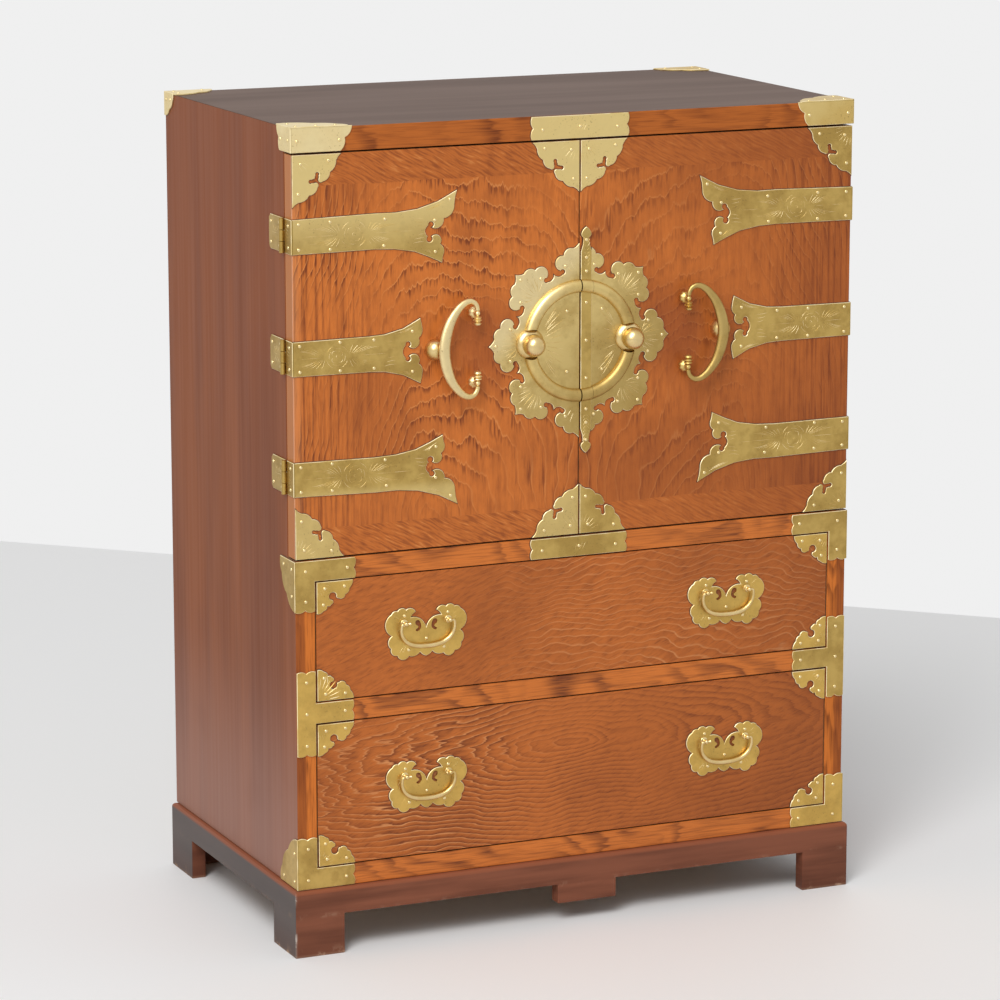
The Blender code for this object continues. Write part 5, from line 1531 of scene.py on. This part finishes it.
def make_lock_plates():
    """Make both parts of the lock plate with the ring and its strokes and nails."""
    surface = moved(front_frame(), 0, LOCK_CENTRE)
    swings = [Matrix.Rotation(2 * math.pi * turn / LOBES, 2) for turn in range(LOBES)]
    spots = [swing @ Vector(place) for swing in swings for place in LOBE_NAILS]
    spots.extend(Vector(place) for place in LOCK_NAILS)
    for word, sign in SIDES:
        inner = LOCK_RIGHT_EDGE if sign > 0 else -DOOR_INNER
        seam = (inner, 0, 0), (-sign, 0, 0)
        sheet = plate(placed(lock_outline(), 0, LOCK_CENTRE), front_frame(),
                      wax_shadow_area=(-FAR, DOOR_LOW, FAR, DOOR_HIGH), metal="lock_brass")
        sheet = sliced(sheet, *seam)
        band = sliced(ring(surface @ Matrix.Translation((0, 0, PLATE_OUT))), *seam)
        foot = Vector((sign * KNOB_OFFSET, FRONT, LOCK_CENTRE))
        seat = rod(foot, foot - Vector((0, SEAT_DEPTH, 0)), COLLAR_RADIUS + SEAT, 48)
        band = cut(band, seat)
        low, high = sorted((inner + sign * SEAM_MARGIN, sign * FAR))
        heads = nails([place for place in spots if low < place.x < high], surface)
        lines = strokes(clear_of_seam(lobe_strokes(), low, high), surface, share=1.25)
        name = f"lock_plate_{word}"
        keep(name, [sheet, band, heads, lines], f"{word}_door", "sheet_brass", name)


def make_closing_strip():
    """Make the strip on the right door's edge with its finials and bits of the ring."""
    lower = scaled(STRIP_SHARES, STRIP_WIDTH / 2, STRIP_REACH)
    loop = placed(outline(mirrored(heightened(lower))), STRIP_CENTRE, LOCK_CENTRE)
    here = moved(front_frame(), STRIP_CENTRE, LOCK_CENTRE)
    strip = plate(loop, front_frame(), thickness=STRIP_THICKNESS,
                  wax_shadow_area=(DOOR_INNER, DOOR_LOW, FAR, DOOR_HIGH))
    band = ring(moved(front_frame(-PLATE_OUT), 0, LOCK_CENTRE))
    for side in (-1, 1):
        band = sliced(band, (STRIP_CENTRE + side * STRIP_WIDTH / 2, 0, 0), (side, 0, 0))
    heads = nails([(0, rise) for rise in STRIP_NAILS], here, SEAT + STRIP_THICKNESS)
    lines = []
    for up in (-1, 1):
        for step in range(7):
            rise = up * (0.088 + 0.0045 * step)
            lines.extend(swept((0, rise), (side * 0.0045, rise + up * 0.005),
                               0.2 * side * up, 4) for side in (-1, 1))
    engraved = strokes(lines, here, SEAT + STRIP_THICKNESS - SUNK)
    keep("closing_strip_dressed", [strip, band, heads, engraved], "right_door", "sheet_brass",
         "closing_strip")


def ball(centre, radius, neck, steps=14):
    """Return a ball's profile from where its radius is the neck's up to its top."""
    last = math.pi - math.asin(min(neck / radius, 1))
    angles = [last * step / steps for step in range(steps, 0, -1)]
    return [*((radius * math.sin(angle), centre + radius * math.cos(angle))
              for angle in angles), (0, centre + radius)]


def make_knobs():
    """Make the two knobs on their domed collars."""
    neck = COLLAR_RADIUS * COLLAR_SHARES[-1][0]
    profile = [(COLLAR_RADIUS * across, COLLAR_HEIGHT * up) for across, up in COLLAR_SHARES]
    profile.extend((neck * 0.88, COLLAR_HEIGHT * up) for up in (1.03, 1.13))
    profile.extend(ball(KNOB_HEIGHT, KNOB_RADIUS, neck * 0.96))
    for word, sign in SIDES:
        pose = moved(front_frame(-PLATE_OUT), sign * KNOB_OFFSET, LOCK_CENTRE)
        knob = paint(turned(profile, pose, 56), "cast_brass")
        keep(f"knob_{word}_turned", [knob], f"{word}_door", "cast_brass", f"knob_{word}")


def post(base_radius, height, eye_radius, pose, fluted):
    """Return a turned post with a domed foot and a ball at its head."""
    shares = FLUTED_SHARES if fluted else POST_SHARES
    profile = [(base_radius * across, height * up) for across, up in shares]
    stem = profile[-1][0]
    profile.extend(ball(height, eye_radius, min(stem, eye_radius * 0.7), 8))
    item = turned(profile, Matrix(), 48 if fluted else 24)
    if fluted:
        for corner in item.data.vertices:
            share = min(1, max(0, 2.4 - corner.co.z / (height * 0.26)))
            angle = math.atan2(corner.co.y, corner.co.x)
            grow = 1 + 0.12 * share * (abs(math.sin(angle * sizes().flutes / 2)) - 0.4)
            corner.co.xy *= grow
    item.data.transform(pose)
    return paint(outward(item), "cap_brass" if fluted else "cast_brass")


def make_handle_posts():
    """Make the fluted posts that carry the door handles' bails."""
    for word, sign in SIDES:
        for level, up in (("upper", 1), ("lower", -1)):
            pose = moved(front_frame(), sign * HANDLE_OFFSET, DOOR_CENTRE + up * HANDLE_SPACING)
            item = post(HANDLE_POST_BASE * 1.22, HANDLE_POST, HANDLE_EYE, pose, True)
            name = f"handle_post_{word}_{level}"
            keep(f"{name}_turned", [item], f"{word}_door", "cast_brass", name)


def bail_path(offset, eye, pin, finial, finial_shares, curve):
    """Return a bail's (along, out, radius) from one finial, through both eyes, to the other."""
    eye_half = math.sqrt(eye ** 2 - pin ** 2) + SEAT
    inner = offset - eye_half
    half = [(inner - finial * place, 0, pin * share) for place, share in finial_shares]
    half.extend(((inner, 0, pin), (offset + eye_half, 0, pin), *curve))
    return [*half, *((-along, out, radius) for along, out, radius in half[-2::-1])]


def make_handle_bails():
    """Make the two door bails with their beaded finials, at rest on their bumpers."""
    curve = [(HANDLE_SPAN * along, HANDLE_REACH * out, HANDLE_RADIUS * share)
             for out, along, share in HANDLE_BAIL_SHARES]
    path = bail_path(HANDLE_SPACING, HANDLE_EYE, HANDLE_PIN, HANDLE_FINIAL,
                     HANDLE_FINIAL_SHARES, curve)
    inner = path[len(HANDLE_FINIAL_SHARES)][0]
    rise = BUMPER_HEIGHT + SEAT + HANDLE_THICKNESS / 2 - HANDLE_POST
    tilt = math.asin(rise / HANDLE_REACH)
    squash = HANDLE_THICKNESS / 2 / HANDLE_RADIUS
    for word, sign in SIDES:
        bail = tube([(out, along, 0) for along, out, _ in path],
                    [radius for _, _, radius in path], Matrix())
        for corner in bail.data.vertices:
            share = min(max(corner.co.x / HANDLE_REACH, 0), 1)
            corner.co.z *= 1 + (squash - 1) * share
        beads = [face.index for face in bail.data.polygons
                 if abs(face.center.y) < inner and face.center.x < HANDLE_PIN * 4]
        bail.data.transform(moved(front_frame(-HANDLE_POST), sign * HANDLE_OFFSET, DOOR_CENTRE,
                                  sign) @ Matrix.Rotation(-tilt, 4, "Y"))
        bail = paint(outward(bail), "lock_brass", "cap_brass")
        for index in beads:
            bail.data.polygons[index].material_index = 1
        name = f"handle_bail_{word}"
        keep(f"{name}_cast", [bail], f"{word}_bail", "cast_brass", name)


def make_bumpers():
    """Make the domes on which the door bails rest."""
    profile = [(BUMPER_RADIUS * across, BUMPER_HEIGHT * up) for across, up in DOME_SHARES]
    for word, sign in SIDES:
        pose = moved(front_frame(), sign * (HANDLE_OFFSET + BUMPER_OFFSET), DOOR_CENTRE)
        dome = paint(turned(profile, pose), "cast_brass")
        keep(f"bumper_{word}_turned", [dome], f"{word}_door", "cast_brass", f"bumper_{word}")


def drawer_middle(level):
    """Return the height of a drawer's middle."""
    low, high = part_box(f"drawer_front_{level}")
    return (low.z + high.z) / 2 - PULL_DROP


def area_of(board):
    """Return the rectangle of a board's front, which holds the dark lines round the plates on it,
    wax and painted shadow in one.
    """
    low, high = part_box(board)
    return low.x, low.z, high.x, high.z


def make_pull_plates():
    """Make the four pulls' pierced plates with their posts and nails."""
    half_width = PULL_WIDTH / 2
    half_height = PULL_HEIGHT / 2
    loop = outline(mirrored(scaled(PULL_SHARES, half_width, half_height)))
    hook = outline(scaled(PULL_CUTOUT_SHARES, half_width, half_height))
    lines = []
    for side in (-1, 1):
        for step in range(5):
            lines.append(swept((side * (0.030 + 0.0012 * step), 0.016 - 0.003 * step),
                               (side * (0.043 - 0.0018 * step), 0.0245 - 0.0075 * step),
                               side * 0.15, 4))
            lines.append(swept((side * (0.022 + 0.001 * step), -0.012),
                               (side * (0.014 + 0.0058 * step), -0.0245), side * 0.1, 4))
    for level in LEVELS:
        for word, sign in SIDES:
            x, z = sign * PULL_OFFSET, drawer_middle(level)
            here = moved(front_frame(), x, z)
            sheet = plate(placed(loop, x, z), front_frame(),
                          wax_shadow_area=area_of(f"drawer_front_{level}"), metal="gold_brass")
            tools = [plate(placed(hook, x, z, side), front_frame(), HOOK_DEPTH, base=-0.001)
                     for side in (-1, 1)]
            parts = [cut(sheet, *tools)]
            for side in (-1, 1):
                pose = moved(front_frame(-PLATE_OUT), x + side * PULL_POST_OFFSET,
                             z + PULL_POST_RISE)
                parts.append(post(PULL_STEM * 2.5, PULL_POST - PLATE_OUT, PULL_EYE, pose, False))
            parts.extend((nails(PULL_NAILS, here), strokes(lines, here, share=0.8)))
            name = f"pull_plate_{level}_{word}"
            keep(f"{name}_pierced", parts, f"{level}_drawer", "sheet_brass", name)


def make_pull_bails():
    """Make the four pulls' bails, hanging against their plates."""
    curve = [(PULL_HALF_WIDTH * out, -PULL_BAIL_DROP * down, PULL_RADIUS * share)
             for out, down, share in PULL_BAIL_SHARES]
    path = bail_path(PULL_POST_OFFSET, PULL_EYE, PULL_PIN, PULL_FINIAL, PULL_FINIAL_SHARES, curve)
    tilt = math.asin((PULL_POST - PLATE_OUT - SEAT - PULL_RADIUS) / PULL_BAIL_DROP)
    for level in LEVELS:
        for word, sign in SIDES:
            pose = (moved(front_frame(-PULL_POST), sign * PULL_OFFSET,
                          drawer_middle(level) + PULL_POST_RISE)
                    @ Matrix.Rotation(tilt, 4, "X"))
            bail = tube([(along, down, 0) for along, down, _ in path],
                        [radius for _, _, radius in path], pose)
            name = f"pull_bail_{level}_{word}"
            keep(f"{name}_cast", [paint(bail, "cast_brass")], f"{level}_{word}_pull",
                 "cast_brass", name)


def cap_outline(length, drop):
    """Return the outline of a cap's upright plate, bumped at its free end."""
    return outline([(0, -drop, 0), *bumps((length * CAP_LOWER_SHARE, -drop), (length, 0)),
                    (length, 0, 0), (0, 0, 0)])


def make_caps():
    """Make the folded caps on the four corners of the top."""
    height = TOP_THICKNESS - MARGIN
    depth = CASE_BACK - FRONT
    top = CASE_TOP + PLATE_OUT
    drop = PLATE_OUT + height
    on_side = {"wax_shadow_area": (0, CUPBOARD_HIGH, depth, CASE_TOP), "metal": "cap_brass"}
    on_top = {"wax_shadow_area": (-CASE_HALF, 0, CASE_HALF, depth), "metal": "cap_brass"}
    for word, sign in SIDES:
        edge, fold = sign * CASE_HALF, sign * FOLD_EDGE
        beside = side_frame(sign)
        face = placed(cap_outline(CAP_LENGTH, PLATE / 2 + SEAT + height), fold,
                      CASE_TOP + SEAT + PLATE / 2, -sign)
        lid = placed(quarter(CAP_TOP_LENGTH, CAP_TOP_DEPTH), fold, -PLATE_OUT, -sign)
        parts = [
            plate(face, front_frame(), metal="cap_brass"),
            plate(placed(cap_outline(CAP_SIDE_LENGTH, drop), -PLATE_OUT, top), beside, **on_side),
            plate(lid, top_frame(), **on_top),
            nails(CAP_NAILS["face"], moved(front_frame(), edge, CASE_TOP, -sign, -1)),
            nails(CAP_NAILS["side"], moved(beside, 0, CASE_TOP, 1, -1)),
            nails(CAP_NAILS["lid"], moved(top_frame(), edge, 0, -sign))]
        keep(f"cap_front_{word}_folded", parts, "case", "sheet_brass", f"cap_front_{word}")
        lid = placed(quarter(BACK_CAP_LENGTH, BACK_CAP_DEPTH), fold, depth, -sign, -1)
        parts = [
            plate(lid, top_frame(), **on_top),
            plate(placed(quarter(BACK_CAP_SIDE, drop), depth, top, -1, -1), beside, **on_side),
            nails(CAP_NAILS["back lid"], moved(top_frame(), edge, depth, -sign, -1)),
            nails(CAP_NAILS["back side"], moved(beside, depth, CASE_TOP, -1, -1))]
        keep(f"cap_back_{word}_folded", parts, "case", "sheet_brass", f"cap_back_{word}")


def make_edge_plates():
    """Make the plates in the middle of the top's edge and of the upper rail."""
    for name, low, high in (("lid_plate", CUPBOARD_HIGH, CASE_TOP),
                            ("rail_plate", UPPER_RAIL, UPPER_RAIL + RAIL_HEIGHT)):
        half = (high - low) / 2 - MARGIN
        middle = (low + high) / 2
        points = [*bumps((EDGE_PLATE_HALF, -half), (EDGE_PLATE_HALF, half)),
                  (EDGE_PLATE_HALF, half, 0),
                  *bumps((-EDGE_PLATE_HALF, half), (-EDGE_PLATE_HALF, -half)),
                  (-EDGE_PLATE_HALF, -half, 0)]
        here = moved(front_frame(), 0, middle)
        lines = [swept((-0.006 + 0.003 * step, -0.006), (-0.003 + 0.004 * step, 0.006), 0.2, 4)
                 for step in range(4)]
        parts = [plate(placed(outline(points), 0, middle), front_frame(),
                       wax_shadow_area=(-FAR, low, FAR, high)),
                 nails(EDGE_PLATE_NAILS, here), strokes(lines, here)]
        keep(f"{name}_sheet", parts, "case", "sheet_brass", name)


def make_folded_brackets(kind, z, up, arm, rise, reach, spots, side_spots, golden=0):
    """Make a pair of corner brackets, folded round the case's edges at a rail's ends.

    They stand up or down from z; golden is the sign of the side with the lighter brass.
    """
    width = SIDE_THICKNESS - MARGIN + SEAT + PLATE / 2
    height = RAIL_HEIGHT - MARGIN
    arm += SEAT + PLATE / 2
    loop = outline([(0, 0, 0), *bumps((arm, 0), (arm, height)), (arm, height, 0),
                    (width, height, 0), *bumps((width, rise), (0, rise)), (0, rise, 0)])
    side = placed(quarter(reach + PLATE_OUT, rise), -PLATE_OUT, z, 1, up)
    for word, sign in SIDES:
        parts = [
            plate(placed(loop, sign * FOLD_EDGE, z, -sign, up), front_frame(),
                  metal="gold_brass" if sign == golden else "sheet_brass"),
            plate(side, side_frame(sign), wax_shadow_area=(0, CASE_LOW, FAR, FAR)),
            nails(spots, moved(front_frame(), sign * CASE_HALF, z, -sign, up)),
            nails(side_spots, moved(side_frame(sign), 0, z, 1, up))]
        name = f"{kind}_bracket_{word}"
        keep(f"{name}_folded", parts, "case", "sheet_brass", name)


def make_tee_brackets():
    """Make the T brackets between the drawers."""
    middle = MIDDLE_RAIL + RAIL_HEIGHT / 2
    width = SIDE_THICKNESS - MARGIN
    half = RAIL_HEIGHT / 2 - MARGIN
    loop = outline([
        *bumps((0, -TEE_HALF_HEIGHT), (width, -TEE_HALF_HEIGHT)), (width, -TEE_HALF_HEIGHT, 0),
        (width, -half, 0), *bumps((TEE_ARM, -half), (TEE_ARM, half)), (TEE_ARM, half, 0),
        (width, half, 0), *bumps((width, TEE_HALF_HEIGHT), (0, TEE_HALF_HEIGHT)),
        (0, TEE_HALF_HEIGHT, 0)])
    for word, sign in SIDES:
        sheet = plate(placed(loop, sign * CASE_HALF, middle, -sign), front_frame(),
                      metal="gold_brass" if sign < 0 else "sheet_brass")
        heads = nails(TEE_NAILS, moved(front_frame(), sign * CASE_HALF, middle, -sign))
        name = f"tee_bracket_{word}"
        keep(f"{name}_sheet", [sheet, heads], "case", "sheet_brass", name)


def make_brackets():
    """Make the brackets at the ends of the three rails, from the top down."""
    make_folded_brackets("rail", UPPER_RAIL + RAIL_HEIGHT - MARGIN, -1, RAIL_ARM, RAIL_DROP,
                         RAIL_SIDE, ((0.0120, 0.0120), (0.0640, 0.0115), (0.0120, 0.0480)),
                         ((0.0080, 0.0100), (0.0330, 0.0080), (0.0080, 0.0420)))
    make_tee_brackets()
    make_folded_brackets("foot", CASE_LOW + MARGIN, 1, FOOT_ARM, FOOT_RISE, FOOT_SIDE,
                         ((0.0120, 0.0110), (0.0600, 0.0110), (0.0120, 0.0490)),
                         ((0.0080, 0.0090), (0.0420, 0.0080), (0.0080, 0.0430)), golden=1)


def corner_strokes(reach):
    """Return strokes that fan out of a plate's corner."""
    lines = []
    for step in range(7):
        angle = math.radians(8 + 12.3 * step)
        way = Vector((math.cos(angle), math.sin(angle)))
        lines.append(swept(way * reach * 0.22, way * reach * (0.46 + 0.05 * (step % 2)), 0.12, 4))
    return lines


def corner_plate(name, board, body, loop, corner, ways, spots, lines, share=1.0,
                 metal="sheet_brass"):
    """Make a corner plate on a board, a little inside its edges, with its nails and strokes."""
    x, z = (place + way * CORNER_GAP for place, way in zip(corner, ways))
    here = moved(front_frame(), x, z, *ways)
    sheet = plate(placed(loop, x, z, *ways), front_frame(), wax_shadow_area=area_of(board), metal=metal)
    keep(name, [sheet, nails(spots, here), strokes(lines, here, share=share)], body, "sheet_brass")


def make_door_corners():
    """Make the eight corner plates of the doors."""
    loop = outline(diagonal(DOOR_CORNER))
    for word, sign in SIDES:
        for edge, x, across in (("outer", sign * CASE_HALF, -sign),
                                ("inner", sign * DOOR_INNER, sign)):
            for level, z, up in (("top", DOOR_HIGH, -1), ("bottom", DOOR_LOW, 1)):
                corner_plate(f"door_corner_{word}_{edge}_{level}", f"door_{word}",
                             f"{word}_door", loop, (x, z), (across, up), DOOR_CORNER_NAILS,
                             corner_strokes(DOOR_FAN))


def make_drawer_corners():
    """Make the eight corner plates of the drawer fronts, one of them engraved deeper."""
    loop = outline(DRAWER_CORNER)
    deep_lines = [*corner_strokes(DEEP_FAN), swept((0.014, 0.011), (0.038, 0.011), -0.35),
                  swept((0.011, 0.013), (0.011, 0.031), 0.35)]
    for drawer in LEVELS:
        board = f"drawer_front_{drawer}"
        low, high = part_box(board)
        for word, sign in SIDES:
            for level, z, up in (("top", high.z, -1), ("bottom", low.z, 1)):
                deep = (drawer, word, level) == ("upper", "left", "bottom")
                lines, share = (deep_lines, 2.6) if deep else (corner_strokes(DRAWER_FAN), 0.8)
                corner_plate(f"drawer_corner_{drawer}_{word}_{level}", board,
                             f"{drawer}_drawer", loop, (sign * high.x, z), (-sign, up),
                             DRAWER_CORNER_NAILS, lines, share, "gold_brass")


# Stage

LENS = 151.2
SENSOR = 36.0
CAMERA_PLACE = (-2.0723, FRONT - 4.4053, 1.5263)
CAMERA_DOWN = 11.71
CAMERA_TURN = -24.10
FAR_CLIP = 60
KEY_PLACE = (-2.3, -2.4, 2.5)
KEY_TARGET = (0, 0, 0.55)
KEY_POWER = 46
KEY_SIZE = 1.4
SUN_PLACE = (-1.158, -1.542, 2.298)
SUN_POWER = 1.15
SUN_WIDTH = math.radians(26)
WORLD_LIGHT = 0.52
BACKDROP = (0.87, 0.87, 0.87, 1)
WALL_START = Vector((0.013, 2.155, 0))
WALL_END = Vector((1.280, 0.962, 0))
FLOOR_SPREAD = 9
FLOOR_DEPTH = 14


def floor_paint():
    """The plain pale floor."""
    board = Board("floor_paint")
    grain = board.noise(board.place, 3.0, detail=3.0) * 0.02
    return board.finish(board.mix(grain, colours().floor, FLOOR_CLOUD), 0.6)


def sheet_of(name, corners, material):
    """Return a plane moved onto four corners."""
    deselect()
    bpy.ops.mesh.primitive_plane_add(size=2)
    item = bpy.context.object
    item.name = name
    for index, place in zip((0, 1, 3, 2), corners):
        item.data.vertices[index].co = place
    item.data.materials.append(material)
    return item


def add_lamp(kind, name, place, target, power, **settings):
    """Add a soft lamp that points from its place at a target."""
    bpy.ops.object.light_add(type=kind, location=place)
    lamp = bpy.context.object
    lamp.name = name
    lamp.rotation_euler = (Vector(target) - Vector(place)).to_track_quat("-Z", "Y").to_euler()
    with_settings(lamp.data, energy=power, **settings)


def make_world():
    """Light the object plainly; the camera and what mirrors see a pale backdrop."""
    world = bpy.data.worlds.new("studio")
    bpy.context.scene.world = world
    world.use_nodes = True
    world.node_tree.nodes.clear()
    sky = Nodes(world.node_tree)
    rays = sky.node("ShaderNodeLightPath", output=None).outputs
    seen = Wire(sky, rays["Is Camera Ray"])
    for ray in ("Is Transmission Ray", "Is Glossy Ray"):
        seen = sky.maths("MAXIMUM", seen, Wire(sky, rays[ray]))
    light = sky.node("ShaderNodeBackground", inputs={1: WORLD_LIGHT})
    backdrop = sky.node("ShaderNodeBackground", inputs={0: BACKDROP})
    choice = sky.node("ShaderNodeMixShader", inputs={0: seen, 1: light, 2: backdrop})
    sky.node("ShaderNodeOutputWorld", inputs={0: choice}, output=None)


def make_stage():
    """Make the floor, the lamps, the world and the camera."""
    along = (WALL_END - WALL_START).normalized()
    nearer = Vector((along.y, -along.x, 0))
    left = WALL_START - along * FLOOR_SPREAD
    right = WALL_START + along * FLOOR_SPREAD
    forward = nearer * FLOOR_DEPTH
    sheet_of("floor", (left + forward, right + forward, right, left), floor_paint())
    add_lamp("AREA", "key", KEY_PLACE, KEY_TARGET, KEY_POWER, size=KEY_SIZE)
    add_lamp("SUN", "daylight", SUN_PLACE, (0, 0, 0), SUN_POWER, angle=SUN_WIDTH)
    make_world()
    bpy.ops.object.camera_add(location=CAMERA_PLACE, rotation=(
        math.radians(90 - CAMERA_DOWN), 0, math.radians(CAMERA_TURN)))
    camera = bpy.context.object
    with_settings(camera.data, lens=LENS, sensor_width=SENSOR, clip_end=FAR_CLIP)
    bpy.context.scene.camera = camera
    bpy.context.scene.view_settings.view_transform = "Standard"


# Operators, panel and registration


class CABINET_OT_boards(bpy.types.Operator):
    """Give every board its wood and softly rounded edges."""

    bl_idname = "cabinet.boards"
    bl_label = "Dress boards"

    def execute(self, context):
        for make_finish in FINISHES:
            make_finish()
        for name, material in WOOD_OF.items():
            soften(name, material)
        return {"FINISHED"}


class CABINET_OT_straps(bpy.types.Operator):
    """Make the six hinge straps on the doors."""

    bl_idname = "cabinet.straps"
    bl_label = "Hinge straps"

    def execute(self, context):
        make_straps()
        return {"FINISHED"}


class CABINET_OT_leaves(bpy.types.Operator):
    """Make the six hinge leaves on the sides."""

    bl_idname = "cabinet.leaves"
    bl_label = "Hinge leaves"

    def execute(self, context):
        make_leaves()
        return {"FINISHED"}


class CABINET_OT_lock_plates(bpy.types.Operator):
    """Make both parts of the lock plate and its ring."""

    bl_idname = "cabinet.lock_plates"
    bl_label = "Lock plate"

    def execute(self, context):
        make_lock_plates()
        return {"FINISHED"}


class CABINET_OT_closing_strip(bpy.types.Operator):
    """Make the strip where the doors meet."""

    bl_idname = "cabinet.closing_strip"
    bl_label = "Closing strip"

    def execute(self, context):
        make_closing_strip()
        return {"FINISHED"}


class CABINET_OT_knobs(bpy.types.Operator):
    """Make the two knobs."""

    bl_idname = "cabinet.knobs"
    bl_label = "Knobs"

    def execute(self, context):
        make_knobs()
        return {"FINISHED"}


class CABINET_OT_door_handles(bpy.types.Operator):
    """Make the door handles' posts, bails and bumpers."""

    bl_idname = "cabinet.door_handles"
    bl_label = "Door handles"

    def execute(self, context):
        make_handle_posts()
        make_handle_bails()
        make_bumpers()
        return {"FINISHED"}


class CABINET_OT_drawer_pulls(bpy.types.Operator):
    """Make the four drawer pulls."""

    bl_idname = "cabinet.drawer_pulls"
    bl_label = "Drawer pulls"

    def execute(self, context):
        make_pull_plates()
        make_pull_bails()
        return {"FINISHED"}


class CABINET_OT_caps(bpy.types.Operator):
    """Make the caps on the corners of the top."""

    bl_idname = "cabinet.caps"
    bl_label = "Corner caps"

    def execute(self, context):
        make_caps()
        return {"FINISHED"}


class CABINET_OT_edge_plates(bpy.types.Operator):
    """Make the plates on the top's edge and the rail below the doors."""

    bl_idname = "cabinet.edge_plates"
    bl_label = "Edge plates"

    def execute(self, context):
        make_edge_plates()
        return {"FINISHED"}


class CABINET_OT_case_brackets(bpy.types.Operator):
    """Make the brackets at the ends of the three rails."""

    bl_idname = "cabinet.case_brackets"
    bl_label = "Case brackets"

    def execute(self, context):
        make_brackets()
        return {"FINISHED"}


class CABINET_OT_door_corners(bpy.types.Operator):
    """Make the corner plates of the doors."""

    bl_idname = "cabinet.door_corners"
    bl_label = "Door corners"

    def execute(self, context):
        make_door_corners()
        return {"FINISHED"}


class CABINET_OT_drawer_corners(bpy.types.Operator):
    """Make the corner plates of the drawer fronts."""

    bl_idname = "cabinet.drawer_corners"
    bl_label = "Drawer corners"

    def execute(self, context):
        make_drawer_corners()
        return {"FINISHED"}


class CABINET_OT_stage(bpy.types.Operator):
    """Make the floor, the lamps, the world and the camera."""

    bl_idname = "cabinet.stage"
    bl_label = "Stage"

    def execute(self, context):
        make_stage()
        return {"FINISHED"}


OPERATORS = (
    CABINET_OT_boards, CABINET_OT_straps, CABINET_OT_leaves, CABINET_OT_lock_plates,
    CABINET_OT_closing_strip, CABINET_OT_knobs, CABINET_OT_door_handles,
    CABINET_OT_drawer_pulls, CABINET_OT_caps, CABINET_OT_edge_plates, CABINET_OT_case_brackets,
    CABINET_OT_door_corners, CABINET_OT_drawer_corners, CABINET_OT_stage,
)


class CABINET_PT_panel(bpy.types.Panel):
    """The cabinet's colours, sizes and pieces."""

    bl_idname = "CABINET_PT_panel"
    bl_label = "Side cabinet"
    bl_space_type = "VIEW_3D"
    bl_region_type = "UI"
    bl_category = "Side cabinet"

    def draw(self, context):
        layout = self.layout
        for group in (sizes(), colours()):
            box = layout.box()
            for name in type(group).__annotations__:
                box.prop(group, name)
        for step in OPERATORS:
            layout.operator(step.bl_idname)


CLASSES = (CabinetSizes, CabinetColours, *OPERATORS, CABINET_PT_panel)


def register():
    """Register the classes and the settings."""
    for item in CLASSES:
        bpy.utils.register_class(item)
    bpy.types.Scene.cabinet_sizes = PointerProperty(type=CabinetSizes)
    bpy.types.Scene.cabinet_colours = PointerProperty(type=CabinetColours)


def unregister():
    """Remove the settings and the classes."""
    del bpy.types.Scene.cabinet_colours
    del bpy.types.Scene.cabinet_sizes
    for item in reversed(CLASSES):
        bpy.utils.unregister_class(item)


def main():
    register()
    for step in OPERATORS:
        group, name = step.bl_idname.split(".")
        getattr(getattr(bpy.ops, group), name)()


if __name__ == "__main__":
    main()
